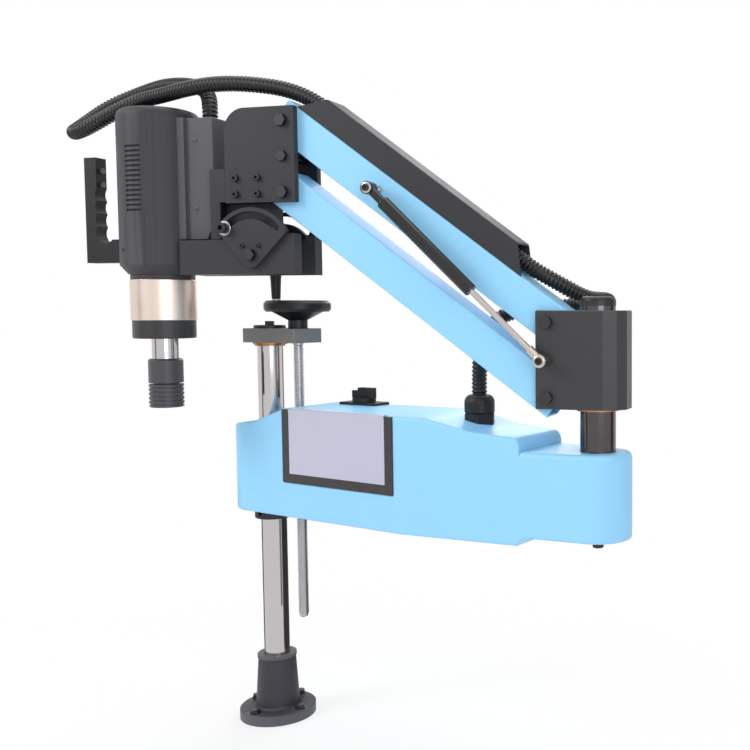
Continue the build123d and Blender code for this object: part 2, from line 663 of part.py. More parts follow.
GLASS_W = SCREEN_W - 2 * GLASS_SIDE
GLASS_H = SCREEN_H - GLASS_BOTTOM - GLASS_TOP
GLASS_MID = (SCREEN_MID[0], SCREEN_BOTTOM + GLASS_BOTTOM + GLASS_H / 2)
with BuildPart() as screen_bezel:
    with BuildSketch(FACE.offset(SCREEN_PROUD - SCREEN_T)):
        with Locations(SCREEN_MID):
            RectangleRounded(SCREEN_W - 0.4, SCREEN_H - 0.4, 3.0)
    extrude(amount=SCREEN_T)
    with BuildSketch(FACE.offset(SCREEN_PROUD)):
        with Locations(GLASS_MID):
            Rectangle(GLASS_W, GLASS_H)
    extrude(amount=-(SCREEN_T - 2.0), mode=Mode.SUBTRACT)
finish(screen_bezel, "screen_bezel")

with BuildPart() as screen_glass:
    with BuildSketch(FACE.offset(SCREEN_PROUD - SCREEN_T + 2.0)):
        with Locations(GLASS_MID):
            Rectangle(GLASS_W, GLASS_H)
    extrude(amount=SCREEN_T - 2.0 - GLASS_SET_BACK)
finish(screen_glass, "screen_glass")

with BuildPart() as switch_base:
    with BuildSketch(Plane(origin=(SWITCH_X, SWITCH_Y, BOX_TOP))) as switch_plan:
        RectangleRounded(SWITCH_BASE_W, SWITCH_BASE_D, 4.0)
    extrude(amount=SWITCH_BASE_T)
    chamfer(switch_base.edges().group_by(Axis.Z)[-1], 1.2)
finish(switch_base, "switch_base")

KNOB_Z = BOX_TOP + SWITCH_BASE_T + SEAT_GAP
with BuildPart() as rotary_knob:
    with BuildSketch(Plane(origin=(SWITCH_X, SWITCH_Y, KNOB_Z))):
        Circle(KNOB_SKIRT_R)
    extrude(amount=KNOB_SKIRT_H)
    with BuildSketch(Plane(origin=(SWITCH_X, SWITCH_Y, KNOB_Z + KNOB_SKIRT_H))):
        SlotOverall(2 * KNOB_REACH, KNOB_GRIP_W)
    extrude(amount=KNOB_GRIP_H - KNOB_STEP_H)
    with BuildSketch(Plane(origin=(SWITCH_X, SWITCH_Y, KNOB_Z + KNOB_SKIRT_H))):
        SlotOverall(2 * KNOB_REACH, KNOB_GRIP_W)
        with Locations((KNOB_REACH / 3, 0)):
            Rectangle(4 * KNOB_REACH / 3, KNOB_GRIP_W, mode=Mode.INTERSECT)
    extrude(amount=KNOB_GRIP_H)
finish(rotary_knob, "rotary_knob")

GLAND_AT = Plane(origin=(GLAND_X, GLAND_Y, 0))
with BuildPart() as gland_body:
    with BuildSketch(GLAND_AT.offset(GLAND_SEAT)):
        RegularPolygon(GLAND_AF / 2, 6, major_radius=False)
    extrude(amount=GLAND_HEX_TOP - GLAND_SEAT)
    with BuildSketch(GLAND_AT.offset(CAVITY_TOP - 8)):
        Circle(GLAND_SHANK_R)
    extrude(amount=GLAND_SEAT - CAVITY_TOP + 8)
    with BuildSketch(GLAND_AT.offset(CAVITY_TOP - 8)):
        Circle(HOSE_BORE_R)
    extrude(amount=GLAND_HEX_TOP - CAVITY_TOP + 8, mode=Mode.SUBTRACT)
finish(gland_body, "gland_body")

with BuildPart() as gland_nut:
    with BuildSketch(Plane(origin=(GLAND_X, GLAND_Y, 0), x_dir=(1, 0, 0), z_dir=(0, -1, 0))):
        with BuildLine():
            Polyline(
                (HOSE_BORE_R, GLAND_HEX_TOP), (GLAND_NUT_R - 2, GLAND_HEX_TOP),
                (GLAND_NUT_R, GLAND_HEX_TOP + 3), (GLAND_NUT_R, GLAND_HEX_TOP + GLAND_NUT_STRAIGHT),
            )
            ThreePointArc(
                (GLAND_NUT_R, GLAND_HEX_TOP + GLAND_NUT_STRAIGHT), (GLAND_NUT_R - 3.5, GLAND_NUT_TOP - 4.5),
                (HOSE_R + 2.5, GLAND_NUT_TOP),
            )
            Polyline(
                (HOSE_R + 2.5, GLAND_NUT_TOP), (HOSE_R, GLAND_NUT_TOP), (HOSE_R, GLAND_NUT_TOP - 6),
                (HOSE_BORE_R, GLAND_NUT_TOP - 6), (HOSE_BORE_R, GLAND_HEX_TOP),
            )
        make_face()
    revolve(axis=Axis((GLAND_X, GLAND_Y, 0), (0, 0, 1)))
    with BuildSketch(GLAND_AT.offset(GLAND_HEX_TOP)):
        with PolarLocations(GLAND_NUT_R + 1.2, 12):
            Circle(2.2)
    extrude(amount=GLAND_NUT_STRAIGHT, mode=Mode.SUBTRACT)
finish(gland_nut, "gland_nut")

# ---------------------------------------------------------------- swivel shaft
SHAFT_AT = Plane(origin=(SHAFT_X, 0, 0))
with BuildPart() as swivel_shaft:
    with BuildSketch(SHAFT_AT.offset(SHAFT_BOTTOM)):
        Circle(SHAFT_R)
    extrude(amount=SHAFT_TOP - SHAFT_BOTTOM)
finish(swivel_shaft, "swivel_shaft")

with BuildPart() as shaft_cap:
    with BuildSketch(Plane(origin=(SHAFT_X, 0, 0), x_dir=(1, 0, 0), z_dir=(0, -1, 0))):
        with BuildLine():
            Polyline(
                (0, SHAFT_TOP), (SHAFT_R + 0.5, SHAFT_TOP), (SHAFT_R + 0.5, SHAFT_TOP + SHAFT_CAP_H - 7),
            )
            ThreePointArc(
                (SHAFT_R + 0.5, SHAFT_TOP + SHAFT_CAP_H - 7), (SHAFT_R - 2.0, SHAFT_TOP + SHAFT_CAP_H - 2.2),
                (SHAFT_R - 8.0, SHAFT_TOP + SHAFT_CAP_H),
            )
            Polyline((SHAFT_R - 8.0, SHAFT_TOP + SHAFT_CAP_H), (0, SHAFT_TOP + SHAFT_CAP_H), (0, SHAFT_TOP))
        make_face()
    revolve(axis=Axis((SHAFT_X, 0, 0), (0, 0, 1)))
finish(shaft_cap, "shaft_cap")

with BuildPart() as shaft_bolt:
    with BuildSketch(SHAFT_AT.offset(NOSE_BOTTOM - SHAFT_BOLT_H)):
        Circle(SHAFT_BOLT_R)
    extrude(amount=SHAFT_BOLT_H)
    chamfer(shaft_bolt.edges().group_by(Axis.Z)[0], 1.2)
    with BuildSketch(SHAFT_AT.offset(NOSE_BOTTOM - SHAFT_BOLT_H)):
        RegularPolygon(5.0, 6, major_radius=False)
    extrude(amount=6, mode=Mode.SUBTRACT)
    with BuildSketch(SHAFT_AT.offset(NOSE_BOTTOM)):
        Circle(SHAFT_BOLT_R - 3.5)
    extrude(amount=SHAFT_BOTTOM - NOSE_BOTTOM)
finish(shaft_bolt, "shaft_bolt")


# ---------------------------------------------------------------- swing block
def block_plan(z):
    """Plan of the swing block: a chamfered hub round the shaft and a straight-sided fork."""
    with BuildSketch(level(z)) as plan:
        with BuildLine():
            Polyline(
                (BLOCK_REACH, BLOCK_HALF_W), (-BLOCK_FACE_BACK, BLOCK_HALF_W),
                (-BLOCK_BACK + 13, BLOCK_HALF_W - 10), (-BLOCK_BACK, BLOCK_HALF_W - 25),
                (-BLOCK_BACK, -BLOCK_HALF_W + 25), (-BLOCK_BACK + 13, -BLOCK_HALF_W + 10),
                (-BLOCK_FACE_BACK, -BLOCK_HALF_W), (BLOCK_REACH, -BLOCK_HALF_W), close=True,
            )
        make_face()
    return plan.sketch


with BuildPart() as pivot_block:
    extrude(block_plan(BLOCK_BOTTOM), amount=BLOCK_TOP - BLOCK_BOTTOM)
    chamfer(pivot_block.edges().group_by(Axis.Z)[-1], 1.5)
    with BuildSketch(level(BLOCK_BOTTOM)):
        with Locations(((FORK_ROOT + BLOCK_REACH) / 2 + 5, 0)):
            Rectangle(BLOCK_REACH - FORK_ROOT + 10, 2 * FORK_HALF_GAP)
        Circle(BLOCK_BORE_R)
    extrude(amount=BLOCK_TOP - BLOCK_BOTTOM, mode=Mode.SUBTRACT)
    with BuildSketch(side(BLOCK_HALF_W + 1)):
        with Locations((LINK_PIVOT_S, UPPER_PIVOT_Z), (LINK_PIVOT_S, LOWER_PIVOT_Z)):
            Circle(PIN_R)
    extrude(amount=2 * BLOCK_HALF_W + 2, mode=Mode.SUBTRACT)
finish(pivot_block, "pivot_block")

with BuildPart() as block_bushes:
    for z in (BLOCK_BOTTOM, BLOCK_TOP - BLOCK_BUSH_L):
        with BuildSketch(level(z)):
            Circle(BLOCK_BORE_R)
            Circle(SHAFT_R + SLIDE_FIT, mode=Mode.SUBTRACT)
        extrude(amount=BLOCK_BUSH_L)
    with BuildSketch(level(BLOCK_BOTTOM - 3.5)):
        Circle(BLOCK_BORE_R + 2)
        Circle(SHAFT_R + SLIDE_FIT, mode=Mode.SUBTRACT)
    extrude(amount=3.5)
finish(block_bushes, "block_bushes")


def hex_pins(places, half_width):
    """Cross pins with a hexagon head at the front and a nut at the back."""
    with BuildPart() as pins:
        for o, radius in ((half_width + PIN_HEAD_H, 0), (half_width, PIN_R), (-half_width, 0)):
            with BuildSketch(side(o)):
                with Locations(*places):
                    if radius:
                        Circle(radius)
                    else:
                        RegularPolygon(PIN_HEAD_AF / 2, 6, major_radius=False)
            extrude(amount=2 * half_width if radius else PIN_HEAD_H)
    return pins


block_pins = hex_pins(((LINK_PIVOT_S, UPPER_PIVOT_Z), (LINK_PIVOT_S, LOWER_PIVOT_Z)), BLOCK_HALF_W)
finish(block_pins, "block_pins")

EYE_BACK = SPRING_PLANE - SPRING_EYE_HALF_W
with BuildPart() as spring_stud_low:
    with BuildSketch(side(EYE_BACK - SEAT_GAP)):
        with Locations((SPRING_LOW_S, SPRING_LOW_Z)):
            Circle(STUD_R)
    extrude(amount=EYE_BACK - SEAT_GAP - BLOCK_HALF_W)
    with BuildSketch(side(BLOCK_HALF_W + STUD_HEX_H)):
        with Locations((SPRING_LOW_S, SPRING_LOW_Z)):
            RegularPolygon(STUD_HEX_AF / 2, 6, major_radius=False)
    extrude(amount=STUD_HEX_H)
finish(spring_stud_low, "spring_stud_low")


# ---------------------------------------------------------------- parallel links
def link_tube(pivot_z, far_fit):
    """Box tube of a link, open at both ends, with a cross boss at each pivot."""
    with BuildPart() as tube:
        with BuildSketch(link_side(TUBE_HALF_W, pivot_z)):
            with Locations((LINK_LENGTH / 2, (TUBE_UP - TUBE_DOWN) / 2)):
                Rectangle(LINK_LENGTH + 2 * TUBE_TAIL, TUBE_UP + TUBE_DOWN)
        extrude(amount=2 * TUBE_HALF_W)
        fillet(tube.edges().filter_by(lambda e: e.length > LINK_LENGTH), TUBE_WALL - 1)
        with BuildSketch(link_side(TUBE_HALF_W - TUBE_WALL, pivot_z)):
            with Locations((LINK_LENGTH / 2, (TUBE_UP - TUBE_DOWN) / 2)):
                Rectangle(LINK_LENGTH + 2 * TUBE_TAIL + 2, TUBE_UP + TUBE_DOWN - 2 * TUBE_WALL)
        extrude(amount=2 * (TUBE_HALF_W - TUBE_WALL), mode=Mode.SUBTRACT)
        with BuildSketch(link_side(TUBE_HALF_W, pivot_z)):
            with Locations((0, 0), (LINK_LENGTH, 0)):
                Circle(TUBE_BOSS_R)
        extrude(amount=2 * TUBE_HALF_W)
        with BuildSketch(link_side(TUBE_HALF_W + 1, pivot_z)):
            Circle(PIN_R + PIN_FIT)
            with Locations((LINK_LENGTH, 0)):
                Circle(PIN_R + far_fit)
        extrude(amount=2 * TUBE_HALF_W + 2, mode=Mode.SUBTRACT)
    return tube


upper_tube = link_tube(UPPER_PIVOT_Z, PIN_FIT)
finish(upper_tube, "upper_tube")
lower_tube = link_tube(LOWER_PIVOT_Z, OPEN_FIT)
finish(lower_tube, "lower_tube")


def cover_profile(o, inset, drop):
    """Side view of the arm cover at depth o: a flat-topped hump that slopes down at both ends."""
    with BuildSketch(link_side(o, UPPER_PIVOT_Z)) as view:
        with BuildLine():
            Polyline(
                (COVER_FOOT_START + inset, TUBE_UP), (COVER_TOP_START + inset, TUBE_UP + COVER_H - drop),
                (COVER_TOP_END - inset, TUBE_UP + COVER_H - drop), (COVER_FOOT_END - inset, TUBE_UP),
                close=True,
            )
        make_face()
    return view.sketch


with BuildPart() as arm_cover:
    extrude(cover_profile(TUBE_HALF_W, 0, 0), amount=2 * TUBE_HALF_W)
    long_edges = arm_cover.edges().filter_by(lambda e: e.length > 0.9 * (COVER_TOP_END - COVER_TOP_START))
    fillet(long_edges.sort_by(lambda e: e.center().Z)[-2:], COVER_WALL + 1)
    extrude(cover_profile(TUBE_HALF_W - COVER_WALL, -COVER_OPENING, COVER_WALL),
            amount=2 * (TUBE_HALF_W - COVER_WALL), mode=Mode.SUBTRACT)
finish(arm_cover, "arm_cover")

# ---------------------------------------------------------------- gas spring
TOP_DIR = radians(LINK_ANGLE)
SPRING_TOP = (
    LINK_PIVOT_S + SPRING_TOP_ALONG * cos(TOP_DIR) - SPRING_TOP_PERP * sin(TOP_DIR),
    UPPER_PIVOT_Z + SPRING_TOP_ALONG * sin(TOP_DIR) + SPRING_TOP_PERP * cos(TOP_DIR),
)
SPRING_LENGTH = hypot(SPRING_TOP[0] - SPRING_LOW_S, SPRING_TOP[1] - SPRING_LOW_Z)
SPRING_DIP = atan2(SPRING_TOP[1] - SPRING_LOW_Z, SPRING_TOP[0] - SPRING_LOW_S)
SPRING_DIR = -ALONG * cos(SPRING_DIP) - UP * sin(SPRING_DIP)
SPRING_ORIGIN = swing_point(SPRING_TOP[0], SPRING_PLANE, SPRING_TOP[1])


def spring_cross(d):
    """Plane square to the spring at distance d from its top eye, facing the bottom eye."""
    return Plane(origin=SPRING_ORIGIN + SPRING_DIR * d, x_dir=FRONT, z_dir=SPRING_DIR)


with BuildPart() as spring_stud_top:
    with BuildSketch(side(SPRING_PLANE + 2)):
        with Locations(SPRING_TOP):
            Circle(STUD_R)
    extrude(amount=SPRING_PLANE + 2 - TUBE_HALF_W)
    with BuildSketch(side(TUBE_HALF_W + STUD_HEX_H)):
        with Locations(SPRING_TOP):
            RegularPolygon(STUD_HEX_AF / 2, 6, major_radius=False)
    extrude(amount=STUD_HEX_H)
finish(spring_stud_top, "spring_stud_top")

with BuildPart() as spring_cylinder:
    with BuildSketch(spring_cross(SPRING_BODY_START)):
        Circle(SPRING_R)
    extrude(amount=SPRING_BODY_END - SPRING_BODY_START)
    fillet(spring_cylinder.edges().filter_by(GeomType.CIRCLE), SPRING_R - PISTON_R)
    with BuildSketch(spring_cross(0)):
        Circle(SPRING_NECK_R)
    extrude(amount=SPRING_BODY_START)
    with BuildSketch(side(SPRING_PLANE + SPRING_EYE_HALF_W)):
        with Locations(SPRING_TOP):
            Circle(SPRING_EYE_R)
    extrude(amount=2 * SPRING_EYE_HALF_W)
    with BuildSketch(side(SPRING_PLANE + 3)):
        with Locations(SPRING_TOP):
            Circle(STUD_R + PIN_FIT)
    extrude(amount=SPRING_EYE_HALF_W + 4, mode=Mode.SUBTRACT)
    with BuildSketch(spring_cross(SPRING_BODY_START + SPRING_END_T)):
        Circle(PISTON_R + SLIDE_FIT)
    extrude(amount=SPRING_BODY_END - SPRING_BODY_START - 2 * SPRING_END_T, mode=Mode.SUBTRACT)
    with BuildSketch(spring_cross(SPRING_BODY_START + SPRING_END_T)):
        Circle(SPRING_ROD_R + SLIDE_FIT)
    extrude(amount=SPRING_BODY_END - SPRING_BODY_START, mode=Mode.SUBTRACT)
finish(spring_cylinder, "spring_cylinder")

ROD_START = SPRING_BODY_END - ROD_IN
with BuildPart() as spring_rod:
    with BuildSketch(spring_cross(ROD_START)):
        Circle(SPRING_ROD_R)
    extrude(amount=SPRING_LENGTH - ROD_START)
    with BuildSketch(spring_cross(ROD_START)):
        Circle(PISTON_R)
    extrude(amount=PISTON_L)
    with BuildSketch(spring_cross(SPRING_LENGTH - SPRING_NECK_L)):
        Circle(SPRING_NECK_R)
    extrude(amount=SPRING_NECK_L)
    with BuildSketch(side(SPRING_PLANE + SPRING_EYE_HALF_W)):
        with Locations((SPRING_LOW_S, SPRING_LOW_Z)):
            Circle(SPRING_EYE_R)
    extrude(amount=2 * SPRING_EYE_HALF_W)
finish(spring_rod, "spring_rod")


# ---------------------------------------------------------------- head bracket
def bracket_plate(o):
    """Side plate of the head bracket, its front face at depth o."""
    with BuildPart() as plate:
        with BuildSketch(side(o)) as view:
            with Locations(((BRACKET_RIGHT + BRACKET_LEFT) / 2, (BRACKET_BOTTOM + BRACKET_TOP) / 2)):
                Rectangle(BRACKET_LEFT - BRACKET_RIGHT, BRACKET_TOP - BRACKET_BOTTOM)
            fillet(view.vertices().sort_by(lambda v: v.X + v.Y)[-1], BRACKET_CORNER_R)
            with Locations((HEAD_S, HEAD_UPPER_Z), (HEAD_S, HEAD_LOWER_Z)):
                Circle(PIN_R, mode=Mode.SUBTRACT)
            with Locations((HEAD_S, MID_BOLT_Z)):
                Circle(SPACER_R, mode=Mode.SUBTRACT)
            with Locations(*[(s, z) for s in YOKE_BOLT_S for z in YOKE_BOLT_Z]):
                Circle(YOKE_BOLT_R, mode=Mode.SUBTRACT)
        extrude(amount=BRACKET_T)
    return plate


BRACKET_OUT = FORK_HALF_GAP + BRACKET_T
bracket_front = bracket_plate(BRACKET_OUT)
finish(bracket_front, "bracket_front")
bracket_rear = bracket_plate(-FORK_HALF_GAP)
finish(bracket_rear, "bracket_rear")

bracket_pins = hex_pins(((HEAD_S, HEAD_UPPER_Z), (HEAD_S, HEAD_LOWER_Z)), BRACKET_OUT)
finish(bracket_pins, "bracket_pins")

with BuildPart() as bracket_spacer:
    with BuildSketch(side(BRACKET_OUT)):
        with Locations((HEAD_S, MID_BOLT_Z)):
            Circle(SPACER_R)
    extrude(amount=2 * BRACKET_OUT)
    for o in (BRACKET_OUT + SPACER_HEAD_H, -BRACKET_OUT):
        with BuildSketch(side(o)):
            with Locations((HEAD_S, MID_BOLT_Z)):
                RegularPolygon(SPACER_HEAD_AF / 2, 6, major_radius=False)
        extrude(amount=SPACER_HEAD_H)
finish(bracket_spacer, "bracket_spacer")

TILT = (TILT_S, TILT_Z)
CLAMP = (
    TILT_S + SLOT_R * cos(radians(CLAMP_ANGLE)),
    TILT_Z + SLOT_R * sin(radians(CLAMP_ANGLE)),
)
with BuildPart() as head_yoke:
    with BuildSketch(side(FORK_HALF_GAP)):
        with Locations(((YOKE_RIGHT + YOKE_LEFT) / 2, (BRACKET_BOTTOM + YOKE_TOP) / 2)):
            Rectangle(YOKE_LEFT - YOKE_RIGHT, YOKE_TOP - BRACKET_BOTTOM)
    extrude(amount=2 * FORK_HALF_GAP)
    with BuildSketch(side(TONGUE_HALF_W)):
        with Locations(((YOKE_RIGHT + YOKE_LEFT) / 2, (YOKE_BOTTOM + YOKE_TOP) / 2)):
            Rectangle(YOKE_LEFT - YOKE_RIGHT, YOKE_TOP - YOKE_BOTTOM)
    extrude(amount=2 * TONGUE_HALF_W)
    with BuildSketch(side(BRACKET_OUT)):
        with Locations(((BRACKET_LEFT + SEAT_GAP + YOKE_LEFT) / 2, (EAR_BOTTOM + YOKE_TOP) / 2)):
            Rectangle(YOKE_LEFT - BRACKET_LEFT - SEAT_GAP, YOKE_TOP - EAR_BOTTOM)
        with Locations(((EAR_BAR_RIGHT + YOKE_LEFT) / 2, (EAR_BAR_BOTTOM + YOKE_TOP) / 2)):
            Rectangle(YOKE_LEFT - EAR_BAR_RIGHT, YOKE_TOP - EAR_BAR_BOTTOM)
    extrude(amount=BRACKET_OUT - TONGUE_HALF_W)
    with BuildSketch(side(FORK_HALF_GAP + 1)):
        with Locations(TILT):
            Circle(TILT_PIN_R)
        with Locations(CLAMP):
            Circle(CLAMP_R)
    extrude(amount=2 * FORK_HALF_GAP + 2, mode=Mode.SUBTRACT)
    for o in (FORK_HALF_GAP, -FORK_HALF_GAP + YOKE_BOLT_IN):
        with BuildSketch(side(o)):
            with Locations(*[(s, z) for s in YOKE_BOLT_S for z in YOKE_BOLT_Z]):
                Circle(YOKE_BOLT_R)
        extrude(amount=YOKE_BOLT_IN, mode=Mode.SUBTRACT)
finish(head_yoke, "head_yoke")

with BuildPart() as yoke_screws:
    for o, head in ((BRACKET_OUT, BRACKET_OUT + YOKE_HEAD_H), (YOKE_BOLT_IN - FORK_HALF_GAP, -BRACKET_OUT)):
        with BuildSketch(side(o)):
            with Locations(*[(s, z) for s in YOKE_BOLT_S for z in YOKE_BOLT_Z]):
                Circle(YOKE_BOLT_R)
        extrude(amount=YOKE_BOLT_IN + BRACKET_T)
        with BuildSketch(side(head)):
            with Locations(*[(s, z) for s in YOKE_BOLT_S for z in YOKE_BOLT_Z]):
                Circle(YOKE_HEAD_R)
        extrude(amount=YOKE_HEAD_H)
finish(yoke_screws, "yoke_screws")

SECTOR_OUT = SECTOR_IN + SECTOR_T
WASHER_IN = SECTOR_OUT + SEAT_GAP
with BuildPart() as clamp_bolt:
    with BuildSketch(side(WASHER_IN + CLAMP_WASHER_T)):
        with Locations(CLAMP):
            Circle(CLAMP_R)
    extrude(amount=2 * (WASHER_IN + CLAMP_WASHER_T))
    for o, radius, depth in (
        (SECTOR_IN - SEAT_GAP, CLAMP_SPACER_R, SECTOR_IN - SEAT_GAP - TONGUE_HALF_W),
        (-TONGUE_HALF_W, CLAMP_SPACER_R, SECTOR_IN - SEAT_GAP - TONGUE_HALF_W),
        (WASHER_IN + CLAMP_WASHER_T, CLAMP_WASHER_R, CLAMP_WASHER_T),
        (-WASHER_IN, CLAMP_WASHER_R, CLAMP_WASHER_T),
        (WASHER_IN + CLAMP_WASHER_T + CLAMP_HEAD_H, CLAMP_HEAD_R, CLAMP_HEAD_H),
        (-WASHER_IN - CLAMP_WASHER_T, CLAMP_HEAD_R, CLAMP_HEAD_H),
    ):
        with BuildSketch(side(o)):
            with Locations(CLAMP):
                Circle(radius)
        extrude(amount=depth)
finish(clamp_bolt, "clamp_bolt")

with BuildPart() as tilt_pin:
    with BuildSketch(side(WASHER_IN)):
        with Locations(TILT):
            Circle(TILT_PIN_R)
    extrude(amount=2 * WASHER_IN)
    for o in (WASHER_IN + PIN_HEAD_H, -WASHER_IN):
        with BuildSketch(side(o)):
            with Locations(TILT):
                RegularPolygon(PIN_HEAD_AF / 2, 6, major_radius=False)
        extrude(amount=PIN_HEAD_H)
finish(tilt_pin, "tilt_pin")

# ---------------------------------------------------------------- tilting head
with BuildPart() as motor_mount:
    with BuildSketch(level(MOUNT_BOTTOM)):
        with BuildLine():
            Polyline(
                (MOUNT_RIGHT, SECTOR_IN), (MOUNT_LEFT, SECTOR_IN),
                (MOUNT_SADDLE_S, MOUNT_SADDLE_HALF_W), (MOTOR_S, MOUNT_SADDLE_HALF_W),
                (MOTOR_S, -MOUNT_SADDLE_HALF_W), (MOUNT_SADDLE_S, -MOUNT_SADDLE_HALF_W),
                (MOUNT_LEFT, -SECTOR_IN), (MOUNT_RIGHT, -SECTOR_IN), close=True,
            )
        make_face()
        with Locations((MOTOR_S, 0)):
            Circle(MOTOR_R + SEAT_GAP, mode=Mode.SUBTRACT)
        with Locations(((MOUNT_RIGHT + MOUNT_SLOT_END) / 2 - 5, 0)):
            Rectangle(MOUNT_SLOT_END - MOUNT_RIGHT + 10, 2 * MOUNT_IN, mode=Mode.SUBTRACT)
    extrude(amount=MOUNT_TOP - MOUNT_BOTTOM)
    for o in (SECTOR_IN, -MOUNT_IN):
        with BuildSketch(side(o)):
            with Locations((MOUNT_RIGHT + MOUNT_EAR_W / 2, (MOUNT_BOTTOM + MOUNT_EAR_TOP) / 2)):
                Rectangle(MOUNT_EAR_W, MOUNT_EAR_TOP - MOUNT_BOTTOM)
        extrude(amount=SECTOR_IN - MOUNT_IN)
    with BuildSketch(side(SECTOR_IN + 1)):
        with Locations(TILT):
            Circle(TILT_PIN_R + PIN_FIT)
    extrude(amount=2 * SECTOR_IN + 2, mode=Mode.SUBTRACT)
finish(motor_mount, "motor_mount")


def polar(radius, angle, beyond=0):
    """A point of a side view at an angle about the tilt pin, or a step beyond it along the arc."""
    x = radius * cos(radians(angle)) - beyond * sin(radians(angle))
    return (TILT_S + x, TILT_Z + radius * sin(radians(angle)) + beyond * cos(radians(angle)))


def sector(o):
    """Sector plate with its arc slot, its front face at depth o."""
    lean = degrees(atan2(sqrt(SECTOR_R ** 2 - SECTOR_HUB_R ** 2), SECTOR_HUB_R))
    with BuildPart() as plate:
        with BuildSketch(side(o)) as view:
            with BuildLine():
                ThreePointArc(
                    polar(SECTOR_R, SECTOR_START), polar(SECTOR_R, (SECTOR_START + SECTOR_END) / 2),
                    polar(SECTOR_R, SECTOR_END),
                )
                Polyline(polar(SECTOR_R, SECTOR_END), polar(SECTOR_HUB_R, SECTOR_END + lean))
                ThreePointArc(
                    polar(SECTOR_HUB_R, SECTOR_END + lean), polar(SECTOR_HUB_R, 270),
                    polar(SECTOR_HUB_R, SECTOR_START - lean),
                )
                Polyline(polar(SECTOR_HUB_R, SECTOR_START - lean), polar(SECTOR_R, SECTOR_START))
            make_face()
            fillet(view.vertices().sort_by(lambda v: v.Y)[-2:], SECTOR_CORNER_R)
            with Locations(TILT):
                Circle(TILT_PIN_R + PIN_FIT, mode=Mode.SUBTRACT)
            with BuildLine():
                low, high = SLOT_R - SLOT_HALF_W, SLOT_R + SLOT_HALF_W
                first, last = CLAMP_ANGLE, CLAMP_ANGLE + SLOT_SWEEP
                middle = (first + last) / 2
                ThreePointArc(polar(low, first), polar(low, middle), polar(low, last))
                ThreePointArc(polar(low, last), polar(SLOT_R, last, SLOT_HALF_W), polar(high, last))
                ThreePointArc(polar(high, last), polar(high, middle), polar(high, first))
                ThreePointArc(polar(high, first), polar(SLOT_R, first, -SLOT_HALF_W), polar(low, first))
            make_face(mode=Mode.SUBTRACT)
        extrude(amount=SECTOR_T)
    return plate


sector_front = sector(SECTOR_OUT)
finish(sector_front, "sector_front")
sector_rear = sector(-SECTOR_IN)
finish(sector_rear, "sector_rear")

MOTOR_AXIS = Axis(swing_point(MOTOR_S, 0, 0), (0, 0, 1))


def turned(points):
    """Half section of a turned piece about the motor's axis, from (radius, z) points."""
    with BuildSketch(side(0)) as section:
        with BuildLine():
            Polyline(*[(MOTOR_S + r, z) for r, z in points], close=True)
        make_face()
    return section.sketch


with BuildPart() as motor_body:
    revolve(turned((
        (0, GEAR_TOP), (GEAR_COLLAR_R, GEAR_TOP), (GEAR_COLLAR_R, MOTOR_NECK_Z), (MOTOR_NECK_R, MOTOR_NECK_Z),
        (MOTOR_R, MOTOR_BOTTOM), (MOTOR_R, MOTOR_TOP), (0, MOTOR_TOP),
    )), axis=MOTOR_AXIS)
    fillet(motor_body.edges().filter_by(GeomType.CIRCLE).group_by(Axis.Z)[-1], MOTOR_SHOULDER_R)
    for o in (MOTOR_R + 1, VENT_DEPTH - MOTOR_R):
        with BuildSketch(side(o)):
            with Locations((MOTOR_S, VENT_LOW_Z + VENT_PITCH * (VENT_COUNT - 1) / 2 + VENT_H / 2)):
                with GridLocations(1, VENT_PITCH, 1, VENT_COUNT):
                    Rectangle(VENT_W, VENT_H)
        extrude(amount=VENT_DEPTH + 1, mode=Mode.SUBTRACT)
finish(motor_body, "motor_body")

with BuildPart() as gearbox_ring:
    with BuildSketch(level(GEAR_BOTTOM)):
        with Locations((MOTOR_S, 0)):
            Circle(GEAR_R)
    extrude(amount=GEAR_TOP - GEAR_BOTTOM)
    chamfer(gearbox_ring.edges().filter_by(GeomType.CIRCLE), 1.0)
finish(gearbox_ring, "gearbox_ring")

with BuildPart() as nose_ring:
    revolve(turned((
        (JOURNAL_R + SLIDE_FIT, RING_BOTTOM), (RING_R - 2, RING_BOTTOM), (RING_R, RING_BOTTOM + 2),
        (RING_R, GEAR_BOTTOM), (0, GEAR_BOTTOM), (0, RING_BOTTOM + JOURNAL_L + SEAT_GAP),
        (JOURNAL_R + SLIDE_FIT, RING_BOTTOM + JOURNAL_L + SEAT_GAP),
    )), axis=MOTOR_AXIS)
finish(nose_ring, "nose_ring")

with BuildPart() as terminal_box:
    with BuildSketch(side(BOX_HALF_W)):
        with BuildLine():
            Polyline(
                (BOX_RIGHT_S, BOX_TOP_Z), (BOX_RIGHT_S, BOX_CUT_Z), (BOX_RIGHT_S + BOX_CUT_W, BOX_BOTTOM_Z),
                (BOX_LEFT_S, BOX_BOTTOM_Z), (BOX_LEFT_S, BOX_TOP_Z), close=True,
            )
        make_face()
    extrude(amount=2 * BOX_HALF_W)
    fillet(terminal_box.edges().group_by(Axis.Z)[-1], BOX_CORNER_R)
    with BuildSketch(level(BOX_BOTTOM_Z)):
        with Locations(((BOX_LEFT_S + MOTOR_S) / 2, 0)):
            Rectangle(MOTOR_S - BOX_LEFT_S, 2 * BOX_FOOT_HALF_W)
        with Locations((MOTOR_S, 0)):
            Circle(MOTOR_R + SEAT_GAP, mode=Mode.SUBTRACT)
    extrude(amount=BOX_TOP_Z - BOX_BOTTOM_Z)
finish(terminal_box, "terminal_box")

